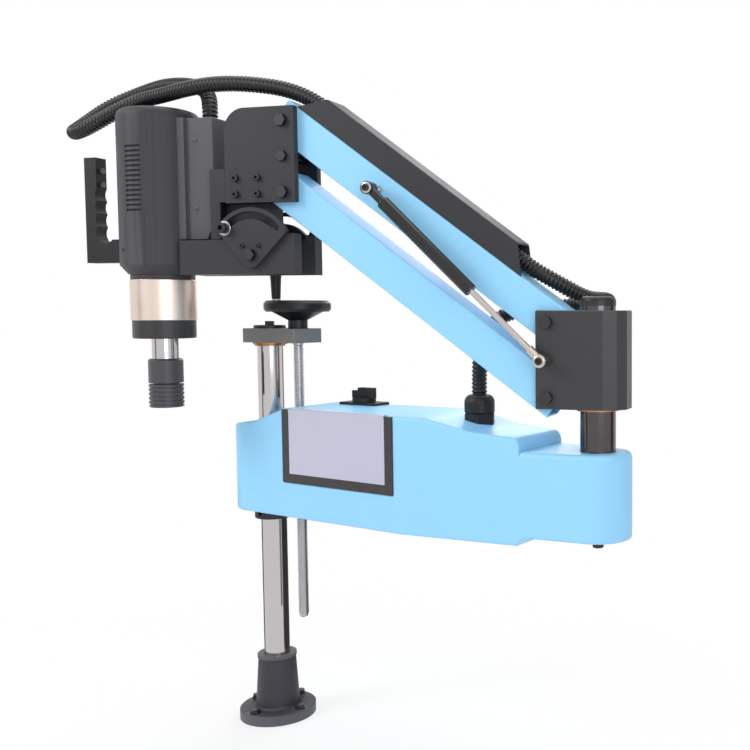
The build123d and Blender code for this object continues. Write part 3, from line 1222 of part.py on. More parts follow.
with BuildPart() as head_screws:
    for o in (SECTOR_OUT + SECTOR_SCREW_H, -SECTOR_OUT):
        with BuildSketch(side(o)):
            with Locations(
                (TILT_S + SECTOR_SCREW_UP, TILT_Z + SECTOR_SCREW_UP),
                (TILT_S - SECTOR_SCREW_UP, TILT_Z + SECTOR_SCREW_UP),
            ):
                Circle(SECTOR_SCREW_R)
        extrude(amount=SECTOR_SCREW_H)
    with BuildSketch(side(BOX_HALF_W + BOX_SCREW_H)):
        with Locations(
            (BOX_LEFT_S - BOX_SCREW_IN, BOX_TOP_Z - BOX_SCREW_DOWN),
            (BOX_LEFT_S - BOX_SCREW_IN, BOX_BOTTOM_Z + BOX_SCREW_UP),
        ):
            Circle(BOX_SCREW_R)
    extrude(amount=BOX_SCREW_H)
finish(head_screws, "head_screws")

with BuildPart() as handle:
    with BuildSketch(side(HANDLE_HALF_W)) as view:
        with BuildLine():
            Polyline(
                (MOTOR_S, HANDLE_BOTTOM), (HANDLE_OUT, HANDLE_BOTTOM), (HANDLE_OUT, HANDLE_TOP),
                (HANDLE_IN, HANDLE_TOP), (HANDLE_IN, HANDLE_ARM_TOP), (MOTOR_S, HANDLE_ARM_TOP), close=True,
            )
        make_face()
        with Locations(*[
            (HANDLE_IN - GROOVE_R + GROOVE_DEPTH, GROOVE_LOW_Z + GROOVE_PITCH * i)
            for i in range(GROOVE_COUNT)
        ]):
            Circle(GROOVE_R, mode=Mode.SUBTRACT)
    extrude(amount=2 * HANDLE_HALF_W)
    fillet(handle.edges().filter_by(Axis.Z).group_by(lambda e: e.length)[-1], HANDLE_EDGE_R)
    with BuildSketch(level(HANDLE_BOTTOM - 1)):
        with Locations((MOTOR_S, 0)):
            Circle(MOTOR_R + SEAT_GAP)
    extrude(amount=HANDLE_TOP - HANDLE_BOTTOM + 2, mode=Mode.SUBTRACT)
    for z in (BUTTON_HIGH_Z, BUTTON_LOW_Z):
        with BuildSketch(Plane(origin=swing_point(HANDLE_IN - 1, 0, z), z_dir=ALONG)):
            Circle(BUTTON_R + SLIDE_FIT)
        extrude(amount=BUTTON_HELD + BUTTON_TRAVEL + 1.5, mode=Mode.SUBTRACT)
finish(handle, "handle")

# ---------------------------------------------------------------- push buttons
with BuildPart() as button_run:
    with BuildSketch(Plane(origin=swing_point(HANDLE_IN - BUTTON_OUT, 0, BUTTON_HIGH_Z), z_dir=ALONG)):
        Circle(BUTTON_R)
    extrude(amount=BUTTON_OUT + BUTTON_HELD)
finish(button_run, "button_run")

with BuildPart() as button_reverse:
    with BuildSketch(Plane(origin=swing_point(HANDLE_IN - BUTTON_OUT, 0, BUTTON_LOW_Z), z_dir=ALONG)):
        Circle(BUTTON_R)
    extrude(amount=BUTTON_OUT + BUTTON_HELD)
finish(button_reverse, "button_reverse")

# ---------------------------------------------------------------- spindle and chuck
with BuildPart() as spindle:
    revolve(turned((
        (0, SPINDLE_BOTTOM), (SPINDLE_R, SPINDLE_BOTTOM), (SPINDLE_R, RING_BOTTOM - SEAT_GAP),
        (JOURNAL_R, RING_BOTTOM - SEAT_GAP), (JOURNAL_R, RING_BOTTOM + JOURNAL_L),
        (0, RING_BOTTOM + JOURNAL_L),
    )), axis=MOTOR_AXIS)
finish(spindle, "spindle")

with BuildPart() as chuck_body:
    revolve(turned((
        (CHUCK_BORE_R, CHUCK_BOTTOM), (CHUCK_CORE_R, CHUCK_BOTTOM), (CHUCK_CORE_R, SLEEVE_Z),
        (CHUCK_R, SLEEVE_Z), (CHUCK_R, SPINDLE_BOTTOM - 3), (CHUCK_R - 3, SPINDLE_BOTTOM),
        (0, SPINDLE_BOTTOM), (0, CHUCK_BOTTOM + CHUCK_BORE_L), (CHUCK_BORE_R, CHUCK_BOTTOM + CHUCK_BORE_L),
    )), axis=MOTOR_AXIS)
finish(chuck_body, "chuck_body")

SLEEVE_TOP_Z = SLEEVE_Z - SLEEVE_TRAVEL - SEAT_GAP
with BuildPart() as chuck_sleeve:
    revolve(turned((
        (CHUCK_CORE_R + SLIDE_FIT, CHUCK_BOTTOM + SEAT_GAP), (CHUCK_R - SLEEVE_LIP, CHUCK_BOTTOM + SEAT_GAP),
        (CHUCK_R, CHUCK_BOTTOM + SEAT_GAP + SLEEVE_LIP), (CHUCK_R, SLEEVE_TOP_Z),
        (CHUCK_CORE_R + SLIDE_FIT, SLEEVE_TOP_Z),
    )), axis=MOTOR_AXIS)
    for i in range(SLEEVE_GROOVES):
        z = CHUCK_BOTTOM + SLEEVE_LIP + SLEEVE_GROOVE_W / 2 + SLEEVE_GROOVE_PITCH * i
        revolve(turned((
            (CHUCK_R - SLEEVE_GROOVE_D, z), (CHUCK_R + 1, z),
            (CHUCK_R + 1, z + SLEEVE_GROOVE_W), (CHUCK_R - SLEEVE_GROOVE_D, z + SLEEVE_GROOVE_W),
        )), axis=MOTOR_AXIS, mode=Mode.SUBTRACT)
finish(chuck_sleeve, "chuck_sleeve")

# ---------------------------------------------------------------- hoses
# Route points in the swinging arm's frame: (s, o, z). The first hose leaves the terminal box and loops
# over the motor into the arm cover; its loop is set out from the head's upper pivot. The second leaves
# the cover, lies on the upper tube and loops round the shaft to the gland.
HEAD_LOOP = (
    (190.2, -22, 60.8), (214.2, -42, 80.8), (270.2, -76, 99.8), (347.2, -108, 110.8),
    (427.2, -140, 107.8), (489.2, -118, 80.8), (508.2, -58, 27.8), (479.2, -3, 4.8), (433.2, 11, 9.8),
    (369.2, 1, 42.8), (322.2, -4, 59.8), (271.2, 4, 63.8), (206.2, 19, 69.8), (142.2, 22, 74.8),
    (76.2, 14, 71.8), (7.2, 5, 60.8), (-49.8, 0, 34.8), (-95.8, 0, -0.2),
)
HEAD_ROUTE = (
    (HOSE_EXIT_S, HOSE_EXIT_O, BOX_TOP_Z), (HOSE_EXIT_S, HOSE_EXIT_O, BOX_TOP_Z + 22),
    *[(HEAD_S + s, o, HEAD_UPPER_Z + z) for s, o, z in HEAD_LOOP],
)
LINK_ROUTE = (
    (165, 0, 936), (124, -2, 902), (73, -15, 873), (33, -50, 846), (8, -80, 845), (14, -125, 842),
    (50, -150, 838), (100, -145, 835), (150, -122, 829), (201, -97, 822), (232, -72, 790),
    (GLAND_S, GLAND_O, 744), (GLAND_S, GLAND_O, GLAND_NUT_TOP),
)


def hose_path(route):
    """Straight runs joined by arcs as large as the runs allow; prints the radii."""
    points = [swing_point(*p) for p in route]
    radii = []
    for before, here, after in zip(points, points[1:], points[2:]):
        turn = radians((here - before).get_angle(after - here))
        radii.append(0.45 * min((here - before).length, (after - here).length) / tan(turn / 2))
    print("radii", [round(r) for r in radii])
    with BuildLine() as line:
        FilletPolyline(*points, radius=radii)
    return line.wires()[0]


def hose(route):
    """Plain tube along a route, with its bore."""
    path = hose_path(route)
    start = Plane(origin=path @ 0, z_dir=path % 0)
    with BuildPart() as tube:
        with BuildSketch(start):
            Circle(HOSE_R)
        sweep(path=path)
        with BuildSketch(start):
            Circle(HOSE_BORE_R)
        sweep(path=path, mode=Mode.SUBTRACT)
    section = pi * (HOSE_R ** 2 - HOSE_BORE_R ** 2)
    print("length", round(path.length), "volume over section x length",
          round(tube.part.volume / (section * path.length), 4))
    return tube


hose_head = hose(HEAD_ROUTE)
finish(hose_head, "hose_head")
hose_link = hose(LINK_ROUTE)
finish(hose_link, "hose_link")
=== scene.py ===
# Dressing of the arm tapping machine: materials, threads, screws, hoses, light and camera.
from math import atan2, cos, hypot, pi, radians, sin

import bmesh
import bpy
import numpy as np
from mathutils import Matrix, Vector


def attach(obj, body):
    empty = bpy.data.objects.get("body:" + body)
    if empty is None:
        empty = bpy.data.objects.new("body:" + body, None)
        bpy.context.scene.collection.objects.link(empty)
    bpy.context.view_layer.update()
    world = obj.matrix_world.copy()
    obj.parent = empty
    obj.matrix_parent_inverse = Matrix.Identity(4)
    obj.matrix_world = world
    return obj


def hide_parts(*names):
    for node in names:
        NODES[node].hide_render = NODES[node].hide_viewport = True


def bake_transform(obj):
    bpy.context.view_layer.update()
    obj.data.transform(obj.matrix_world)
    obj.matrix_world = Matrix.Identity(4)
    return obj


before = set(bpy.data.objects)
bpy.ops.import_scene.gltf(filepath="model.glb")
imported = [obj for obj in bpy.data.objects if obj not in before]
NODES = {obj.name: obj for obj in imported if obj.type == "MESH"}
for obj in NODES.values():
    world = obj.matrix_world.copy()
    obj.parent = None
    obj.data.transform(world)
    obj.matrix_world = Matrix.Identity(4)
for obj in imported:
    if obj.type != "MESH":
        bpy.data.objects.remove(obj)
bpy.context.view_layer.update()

MM = 0.001
SWING = radians(13.2)
SHAFT_X = 753.0
LINK_ANGLE = radians(35.93)
LINK_LENGTH, BLOCK_PIN_S, BLOCK_PIN_Z = 595, 76, 807
HEAD_S, HEAD_Z = BLOCK_PIN_S + LINK_LENGTH * cos(LINK_ANGLE), BLOCK_PIN_Z + LINK_LENGTH * sin(LINK_ANGLE)


def arm(s, o, z):
    """A point of the swinging arm's frame (s from the shaft, o to the front, z up; mm) in metres."""
    return Vector((
        (SHAFT_X - cos(SWING) * s + sin(SWING) * o) * MM,
        (-sin(SWING) * s - cos(SWING) * o) * MM,
        z * MM,
    ))


FRONT = Vector((sin(SWING), -cos(SWING), 0))
UP = Vector((0, 0, 1))


# ---------------------------------------------------------------- materials
def srgb(r, g, b):
    """Linear colour from 0-255 display values."""
    def lin(v):
        v /= 255
        return v / 12.92 if v <= 0.04045 else ((v + 0.055) / 1.055) ** 2.4
    return (lin(r), lin(g), lin(b), 1.0)


NOISE_SIZE, NOISE_DETAIL = 14.0, 4.0
COAT_ROUGH = 0.12
WEAR_FROM, WEAR_TO = 0.52, 0.60
GRAIN_DETAIL, GRAIN_DEPTH = 3.0, 0.0004
BRUSH_DETAIL, BRUSH_DEPTH, BRUSH_STRETCH = 2.0, 0.0002, 0.02


def noise_bump(nt, coords, size, detail, strength, depth, normal):
    """A fine noise as a bump on top of the normal given, which may be None."""
    fine = nt.nodes.new("ShaderNodeTexNoise")
    fine.inputs["Scale"].default_value = size
    fine.inputs["Detail"].default_value = detail
    nt.links.new(coords, fine.inputs["Vector"])
    bump = nt.nodes.new("ShaderNodeBump")
    bump.inputs["Strength"].default_value = strength
    bump.inputs["Distance"].default_value = depth
    nt.links.new(fine.outputs["Fac"], bump.inputs["Height"])
    if normal:
        nt.links.new(normal, bump.inputs["Normal"])
    return bump.outputs[0]


def material(name, colour, rough, metal=0.0, grain=0.0, grain_size=900.0, vary=0.06, coat=0.0,
             edge=0.0008, wear=None, brush=None, spec=0.5, rough_vary=0.08):
    """Procedural surface: colour and roughness that vary, a fine grain, soft edges and worn corners."""
    m = bpy.data.materials.new(name)
    m.use_nodes = True
    nt = m.node_tree
    n, link = nt.nodes, nt.links.new
    n.clear()
    out = n.new("ShaderNodeOutputMaterial")
    p = n.new("ShaderNodeBsdfPrincipled")
    link(p.outputs[0], out.inputs[0])
    p.inputs["Metallic"].default_value = metal
    p.inputs["Specular IOR Level"].default_value = spec
    if coat:
        p.inputs["Coat Weight"].default_value = coat
        p.inputs["Coat Roughness"].default_value = COAT_ROUGH
    co = n.new("ShaderNodeTexCoord")
    big = n.new("ShaderNodeTexNoise")
    big.inputs["Scale"].default_value = NOISE_SIZE
    big.inputs["Detail"].default_value = NOISE_DETAIL
    link(co.outputs["Object"], big.inputs["Vector"])
    ramp = n.new("ShaderNodeMapRange")
    ramp.inputs["To Min"].default_value = 1 - vary
    ramp.inputs["To Max"].default_value = 1 + vary
    link(big.outputs["Fac"], ramp.inputs["Value"])
    tint = n.new("ShaderNodeMix")
    tint.data_type = "RGBA"
    tint.blend_type = "MULTIPLY"
    tint.inputs[0].default_value = 1.0
    tint.inputs[6].default_value = colour
    grey = n.new("ShaderNodeCombineColor")
    for i in range(3):
        link(ramp.outputs[0], grey.inputs[i])
    link(grey.outputs[0], tint.inputs[7])
    last = tint.outputs[2]
    if wear:
        geo = n.new("ShaderNodeNewGeometry")
        at = n.new("ShaderNodeMapRange")
        at.inputs["From Min"].default_value = WEAR_FROM
        at.inputs["From Max"].default_value = WEAR_TO
        link(geo.outputs["Pointiness"], at.inputs["Value"])
        mix = n.new("ShaderNodeMix")
        mix.data_type = "RGBA"
        mix.inputs[7].default_value = wear
        link(at.outputs[0], mix.inputs[0])
        link(last, mix.inputs[6])
        last = mix.outputs[2]
    link(last, p.inputs["Base Color"])
    rr = n.new("ShaderNodeMapRange")
    rr.inputs["To Min"].default_value = max(0.02, rough - rough_vary)
    rr.inputs["To Max"].default_value = min(1, rough + rough_vary)
    link(big.outputs["Fac"], rr.inputs["Value"])
    link(rr.outputs[0], p.inputs["Roughness"])
    normal = None
    if edge:
        bev = n.new("ShaderNodeBevel")
        bev.samples = 4
        bev.inputs["Radius"].default_value = edge
        normal = bev.outputs[0]
    if brush:
        axis, size, depth = brush
        mapping = n.new("ShaderNodeMapping")
        scale = [size, size, size]
        scale["XYZ".index(axis)] = size * BRUSH_STRETCH
        mapping.inputs["Scale"].default_value = scale
        link(co.outputs["Object"], mapping.inputs["Vector"])
        normal = noise_bump(nt, mapping.outputs[0], 1.0, BRUSH_DETAIL, depth, BRUSH_DEPTH, normal)
    if grain:
        normal = noise_bump(nt, co.outputs["Object"], grain_size, GRAIN_DETAIL, grain, GRAIN_DEPTH, normal)
    if normal:
        link(normal, p.inputs["Normal"])
    return m


BLACK_WEAR = srgb(54, 54, 58)
PAINT = srgb(150, 212, 250)
M = {
    "blue": material("blue_paint", PAINT, 0.46, grain=0.05, grain_size=420, vary=0.02,
                     coat=0.10, edge=0.0016, spec=0.32),
    "housing": material("housing_paint", PAINT, 0.46, grain=0.05, grain_size=420, vary=0.02,
                        coat=0.10, edge=0.0045, spec=0.32),
    "black": material("black_powder", srgb(17, 16, 18), 0.46, grain=0.22, grain_size=1400, vary=0.10,
                      wear=BLACK_WEAR, spec=0.22),
    "block": material("black_satin", srgb(17, 16, 18), 0.40, grain=0.12, grain_size=1700, vary=0.05,
                      wear=BLACK_WEAR, edge=0.0010, spec=0.38),
    "cast": material("cast_black", srgb(58, 56, 63), 0.48, grain=0.5, grain_size=700, vary=0.15,
                     wear=srgb(92, 92, 98), edge=0.0014, spec=0.34),
    "motor": material("motor_powder", srgb(60, 58, 63), 0.50, grain=0.4, grain_size=1500, vary=0.08,
                      wear=srgb(84, 83, 88), spec=0.26),
    "chuck": material("chuck_black", srgb(72, 69, 75), 0.36, grain=0.10, grain_size=1700, vary=0.05,
                      edge=0.0008, spec=0.42),
    "chrome": material("chrome", srgb(194, 190, 191), 0.10, metal=1.0, vary=0.02, rough_vary=0.04,
                       brush=("Z", 500, 0.05)),
    "shaft": material("shaft_steel", srgb(88, 84, 86), 0.17, metal=1.0, vary=0.12, rough_vary=0.06,
                      brush=("Z", 420, 0.10)),
    "steel": material("screw_steel", srgb(186, 184, 188), 0.30, metal=1.0, vary=0.10, rough_vary=0.12),
    "rod": material("rod_steel", srgb(198, 188, 180), 0.18, metal=1.0, vary=0.05),
    "button": material("button_grey", srgb(96, 96, 100), 0.40, metal=0.6, vary=0.05),
    "bronze": material("bronze", srgb(176, 132, 92), 0.35, metal=1.0, vary=0.10),
    "ring": material("ring_satin", srgb(226, 210, 198), 0.36, metal=1.0, vary=0.04,
                     brush=("Z", 900, 0.12)),
    "plate": material("plate_grey", srgb(66, 66, 68), 0.42, grain=0.15, grain_size=1500, vary=0.08,
                      wear=srgb(120, 120, 120), spec=0.35),
    "bolt": material("bolt_black", srgb(26, 25, 26), 0.38, metal=0.5, vary=0.12, wear=BLACK_WEAR,
                     edge=0.0005),
    "plastic": material("black_plastic", srgb(22, 22, 25), 0.46, grain=0.25, grain_size=1600, vary=0.08,
                        spec=0.36),
    "wheel": material("wheel_black", srgb(20, 20, 22), 0.36, grain=0.10, grain_size=900, vary=0.05,
                      edge=0.0012, spec=0.34),
    "gloss": material("gloss_plastic", srgb(18, 18, 20), 0.22, grain=0.03, grain_size=500, vary=0.05,
                      coat=0.25, edge=0.0010, spec=0.4),
    "film": material("screen_film", srgb(188, 187, 208), 0.26, vary=0.02, coat=0.4, edge=0.0004,
                     rough_vary=0.01),
    "bezel": material("screen_frame", srgb(58, 55, 57), 0.38, grain=0.10, grain_size=1500, vary=0.05,
                      spec=0.35),
    "hose": material("hose_black", srgb(20, 20, 23), 0.34, vary=0.12, edge=0.0, spec=0.4),
    "grip": material("grip_black", srgb(26, 26, 29), 0.48, grain=0.35, grain_size=1100, vary=0.08,
                     spec=0.32),
}
DRESS = {  # material: the CAD nodes that wear it
    "blue": "base_cover upper_tube lower_tube",
    "housing": "arm_housing",
    "cast": "base_flange",
    "black": "arm_cover bracket_front bracket_rear head_yoke motor_mount sector_front sector_rear "
             "column_collar",
    "block": "pivot_block shaft_cap nose_ring column_cap",
    "chuck": "chuck_body chuck_sleeve",
    "motor": "motor_body terminal_box",
    "chrome": "column spindle",
    "shaft": "swivel_shaft",
    "steel": "lead_screw grip_pin spring_stud_low spring_stud_top",
    "button": "button_run button_reverse",
    "rod": "spring_rod",
    "bronze": "thrust_ring top_bush arm_bushes lift_nut block_bushes",
    "ring": "gearbox_ring",
    "plate": "top_plate",
    "bolt": "base_bolts shaft_bolt block_pins bracket_spacer bracket_pins yoke_screws clamp_bolt tilt_pin "
            "head_screws",
    "plastic": "switch_base rotary_knob gland_body gland_nut",
    "wheel": "handwheel wheel_grip",
    "gloss": "spring_cylinder",
    "film": "screen_glass",
    "bezel": "screen_bezel",
    "grip": "handle",
    "hose": "hose_head hose_link",
}
for key, names in DRESS.items():
    for name in names.split():
        NODES[name].data.materials.clear()
        NODES[name].data.materials.append(M[key])


def mesh_object(name, verts, faces, mat, smooth=True):
    """A mesh piece from vertices in metres."""
    mesh = bpy.data.meshes.new(name)
    mesh.from_pydata([tuple(v) for v in verts], [], faces)
    mesh.validate()
    mesh.materials.append(mat)
    bm = bmesh.new()
    bm.from_mesh(mesh)
    bmesh.ops.recalc_face_normals(bm, faces=bm.faces)
    bm.to_mesh(mesh)
    bm.free()
    if smooth:
        mesh.polygons.foreach_set("use_smooth", [True] * len(mesh.polygons))
    o = bpy.data.objects.new(name, mesh)
    bpy.context.scene.collection.objects.link(o)
    return o


def ring_faces(rings, sides, start=0):
    """Faces that join closed rings of vertices one after the other, and close the first and last."""
    faces = []
    for i in range(rings - 1):
        for k in range(sides):
            a, b = start + i * sides + k, start + i * sides + (k + 1) % sides
            faces.append((a, b, b + sides, a + sides))
    last = start + (rings - 1) * sides
    return faces + [tuple(range(start, start + sides)), tuple(range(last, last + sides))]


def sharp_by_angle(o, degrees_=35):
    """Flat look at hard corners, smooth look on rounds."""
    mesh = o.data
    bm = bmesh.new()
    bm.from_mesh(mesh)
    for e in bm.edges:
        if len(e.link_faces) == 2 and e.calc_face_angle(0) > radians(degrees_):
            e.smooth = False
    bm.to_mesh(mesh)
    bm.free()


# ---------------------------------------------------------------- hoses
HOSE_R, RIB_PITCH, HOSE_SIDES = 14.0, 7.2, 28
ROUTE_STEPS, PATH_POINTS = 24, 160
# Routes of the hoses as (s, o, z) in mm; the loop's points are measured from the head's upper pin.
HEAD_LOOP = (
    (190.2, -22, 60.8), (214.2, -42, 80.8), (270.2, -76, 99.8), (347.2, -108, 110.8),
    (427.2, -140, 107.8), (489.2, -118, 80.8), (508.2, -58, 27.8), (479.2, -3, 4.8), (433.2, 11, 9.8),
    (369.2, 1, 42.8), (322.2, -4, 59.8), (271.2, 4, 63.8), (206.2, 19, 69.8), (142.2, 22, 74.8),
    (76.2, 14, 71.8), (7.2, 5, 60.8), (-49.8, 0, 34.8), (-95.8, 0, -0.2),
)
HEAD_ROUTE = (
    (HEAD_S + 180.2, -10, HEAD_Z + 15.85), (HEAD_S + 180.2, -10, HEAD_Z + 37.85),
    *[(HEAD_S + s, o, HEAD_Z + z) for s, o, z in HEAD_LOOP],
)
GLAND_S, GLAND_O, GLAND_TOP = 239.17, -66.37, 677
LINK_ROUTE = (
    (165, 0, 936), (124, -2, 902), (73, -15, 873), (33, -50, 846), (8, -80, 845), (14, -125, 842),
    (50, -150, 838), (100, -145, 835), (150, -122, 829), (201, -97, 822), (232, -72, 790),
    (GLAND_S, GLAND_O, 744), (GLAND_S, GLAND_O, GLAND_TOP),
)


def spline_points(route):
    """The smooth line of a route, as closely spaced points in metres."""
    curve = bpy.data.curves.new("route", "CURVE")
    curve.dimensions = "3D"
    sp = curve.splines.new("NURBS")
    sp.points.add(len(route) - 1)
    for p, q in zip(sp.points, route):
        p.co = (*arm(*q), 1)
    sp.order_u = 3
    sp.use_endpoint_u = True
    sp.resolution_u = ROUTE_STEPS
    o = bpy.data.objects.new("route", curve)
    bpy.context.scene.collection.objects.link(o)
    mesh = bpy.data.meshes.new_from_object(o)
    pts = np.array([v.co[:] for v in mesh.vertices])
    bpy.data.objects.remove(o)
    bpy.data.curves.remove(curve)
    bpy.data.meshes.remove(mesh)
    keep = [0] + [i for i in range(1, len(pts)) if np.linalg.norm(pts[i] - pts[i - 1]) > 1e-7]
    return pts[keep]


def nearest(route_line, place):
    """Distance along a line to the point of it that is nearest to a place."""
    pts, run = route_line
    gap = np.linalg.norm(pts - np.array(place), axis=1)
    return run[int(np.argmin(gap))]


def along(route_line, d):
    """The point of a line at distance d."""
    pts, run = route_line
    return np.array([np.interp(d, run, pts[:, k]) for k in range(3)])


# One rib: (share of the pitch, share of the radius).
RIB = ((0.0, 0.90), (0.12, 0.975), (0.27, 1.0), (0.42, 0.975), (0.54, 0.90), (0.64, 0.87), (0.88, 0.87))


def ribbed_hose(name, route_line, first, last):
    """A corrugated hose along part of a line, between two distances along it."""
    pts, run = route_line
    count = round((last - first) / (RIB_PITCH * MM))
    pitch = (last - first) / count
    rings = [(first + pitch * (i + f), r) for i in range(count) for f, r in RIB] + [(last, RIB[0][1])]
    slopes = (np.gradient(pts, run, axis=0), run)
    side = np.array(FRONT[:])
    verts = []
    for d, r in rings:
        c = along(route_line, d)
        t = along(slopes, d)
        t /= np.linalg.norm(t)
        side = side - t * side.dot(t)
        side /= np.linalg.norm(side)
        other = np.cross(t, side)
        for k in range(HOSE_SIDES):
            a = 2 * pi * k / HOSE_SIDES
            verts.append(c + (side * cos(a) + other * sin(a)) * HOSE_R * MM * r)
    return mesh_object(name, verts, ring_faces(len(rings), HOSE_SIDES), M["hose"])


def hose_piece(name, node, route_line, first, last, bodies, start=None):
    """One length of a hose, which rides one body or, where it runs between two, stays fixed where it lies; it
    stands for the CAD hose.
    """
    piece = ribbed_hose(name, route_line, first, last)
    if start:
        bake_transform(piece)
    else:
        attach(piece, *bodies)
    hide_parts(node)


def line_of(route):
    """A route's smooth line: its points and the distance along it at each."""
    pts = spline_points(route)
    return pts, np.concatenate([[0], np.cumsum(np.linalg.norm(np.diff(pts, axis=0), axis=1))])


# Each hose is cut where it follows a single body on its way between two joints.
HEAD_TURN_AT, HEAD_JOIN_AT, LINK_JOIN_AT = (1064, -58, 1184), (626, 13, 1227), (12, -78, 845)
head_line, link_line = line_of(HEAD_ROUTE), line_of(LINK_ROUTE)
head_end, link_end = head_line[1][-1], link_line[1][-1]
head_turn = nearest(head_line, arm(*HEAD_TURN_AT))
head_join = nearest(head_line, arm(*HEAD_JOIN_AT))
link_join = nearest(link_line, arm(*LINK_JOIN_AT))
hose_piece("hose_head_out", "hose_head", head_line, 0, head_turn, ("tilt_head",))
hose_piece("hose_head_back", "hose_head", head_line, head_turn, head_join, ("head_bracket", "tilt_head"),
           (632, 0, 1200))
hose_piece("hose_head_tail", "hose_head", head_line, head_join, head_end,
           ("head_bracket", "upper_link"), (585, 0, 1228))
hose_piece("hose_link_top", "hose_link", link_line, 0, link_join, ("upper_link", "swing_block"),
           (150, 0, 920))
hose_piece("hose_link_foot", "hose_link", link_line, link_join, link_end,
           ("swing_block", "lower_arm"), (20, -120, 842))


# ---------------------------------------------------------------- lead screw
def turned(name, at, profile, mat, sides=48):
    """A closed turned piece on an upright axis: profile is (radius, height) in mm from the point at."""
    side = UP.orthogonal()
    side = (side - UP * side.dot(UP)).normalized()
    other = UP.cross(side)
    verts = []
    for r, h in profile:
        for k in range(sides):
            a = 2 * pi * k / sides
            verts.append(Vector(at) + UP * h * MM + (side * cos(a) + other * sin(a)) * r * MM)
    return mesh_object(name, verts, ring_faces(len(profile), sides), mat)


SCREW_X, SCREW_FOOT, SCREW_TOP, NECK_TOP = 77.0, 213.0, 762.7, 826
ROOT_R, CREST_R, NECK_R, THREAD_PITCH, THREAD_STEPS = 7.9, 9.95, 7.0, 4.0, 24
THREAD_GAP, THREAD_STOP = 1.5, 4  # plain length below the thread and collar height above it


def threaded_screw():
    """The ridge of a trapezoidal thread, wound round the screw's core and fading at both ends."""
    flank = ((0.0, ROOT_R), (0.36, ROOT_R), (0.52, CREST_R), (0.84, CREST_R))
    turns = (SCREW_TOP - THREAD_STOP - SCREW_FOOT) / THREAD_PITCH
    rise = turns * THREAD_PITCH - THREAD_PITCH - THREAD_GAP
    count = int(turns * THREAD_STEPS)
    verts, faces = [], []
    for i in range(count + 1):
        a = 2 * pi * i / THREAD_STEPS
        base = SCREW_FOOT + THREAD_GAP + rise * i / count
        fade = min(1.0, i / THREAD_STEPS, (count - i) / THREAD_STEPS)
        for f, r in flank:
            rr = ROOT_R + (r - ROOT_R) * fade
            verts.append(((SCREW_X + rr * cos(a)) * MM, rr * sin(a) * MM, (base + f * THREAD_PITCH) * MM))
    width = len(flank)
    for i in range(count):
        for k in range(width - 1):
            a = i * width + k
            faces.append((a, a + width, a + width + 1, a + 1))
        if i + THREAD_STEPS < count:
            a, b = (i + 1) * width - 1, (i + THREAD_STEPS) * width
            faces.append((a, a + width, b + width, b))
    return mesh_object("screw_thread", verts, faces, M["steel"])


thread = threaded_screw()
sharp_by_angle(thread, 28)
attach(thread, "lift_screw")
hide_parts("lead_screw")
core = turned("screw_core", (SCREW_X * MM, 0, 0), (
    (5.5, SCREW_FOOT), (7.4, SCREW_FOOT + 1.8), (ROOT_R, SCREW_FOOT + 2.4), (ROOT_R, SCREW_TOP - 6),
    (9.6, SCREW_TOP - THREAD_STOP), (9.6, SCREW_TOP), (NECK_R, SCREW_TOP), (NECK_R, NECK_TOP),
    (0.5, NECK_TOP)), M["steel"])
sharp_by_angle(core)
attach(core, "lift_screw")
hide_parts("lead_screw")


# ---------------------------------------------------------------- screw heads with their recesses
def rings_mesh(name, stacks, mat, sides=36):
    """Turned shapes in one mesh; each is (foot, axis, profile) with a hexagon where a radius is negative."""
    verts, faces = [], []
    for foot, axis, profile in stacks:
        axis = Vector(axis).normalized()
        side = (UP - axis * UP.dot(axis)).normalized()
        other = axis.cross(side)
        start = len(verts)
        for r, h in profile:
            for k in range(sides):
                a = 2 * pi * k / sides
                rr = r if r > 0 else -r / cos((a % (pi / 3)) - pi / 6)
                verts.append(Vector(foot) + (axis * h + (side * cos(a) + other * sin(a)) * rr) * MM)
        faces += ring_faces(len(profile), sides, start)
    o = mesh_object(name, verts, faces, mat)
    sharp_by_angle(o)
    return o


def socket_head(radius, height, flats, shank, reach):
    """Profile of a socket screw: its shank below the seat, then the head and its hexagon recess."""
    edge = min(0.9, height * 0.2)
    return ((shank, -reach), (shank, 0), (radius, 0), (radius, height - edge), (radius - edge, height),
            (-flats / 2, height), (-flats / 2, height * 0.45), (0.2, height * 0.45))


def dome_head(radius, height, flats, shank, reach):
    """Profile of a dome-headed screw with its hexagon recess."""
    return ((shank, -reach), (shank, 0), (radius, 0), (radius, height * 0.3), (radius * 0.86, height * 0.75),
            (radius * 0.6, height), (-flats / 2, height), (-flats / 2, height * 0.4), (0.2, height * 0.4))


# Places in the arm's frame: OUT, IN and O are distances to the front, S along the arm, Z heights, in mm.
BRACKET_OUT, SECTOR_OUT, BOX_HALF_W = 42.6, 53.0, 28.0
WASHER_IN, WASHER_T, WASHER_R, WASHER_EDGE = 53.3, 2.4, 13.0, 0.6
SPACER_IN, SPACER_R, SPACER_L, SPACER_BORE_R = 21, 11.0, 23.7, 6.2
TILT_S, TILT_Z = HEAD_S + 60, HEAD_Z - 232.15
CLAMP_R, CLAMP_ANGLE = 69, radians(43.2)
CLAMP_S, CLAMP_Z = TILT_S + CLAMP_R * cos(CLAMP_ANGLE), TILT_Z + CLAMP_R * sin(CLAMP_ANGLE)
SECTOR_SCREW_S, SECTOR_SCREW_UP = 16, 16
BOX_SCREW_S, BOX_SCREW_Z = HEAD_S + 185.2, (HEAD_Z - 24.15, HEAD_Z - 146.15)
MOTOR_S, MOTOR_R, MOTOR_SCREW_Z, MOTOR_SCREW_IN = HEAD_S + 283.2, 72.0, HEAD_Z - 220, 2.9
MOTOR_SCREW_WAY = Vector((-0.208, -0.978, 0))
SPRING_ALONG, SPRING_OFF, SPRING_RING_O, SPRING_SCREW_O = 380.5, 2.3, 70, 70.6
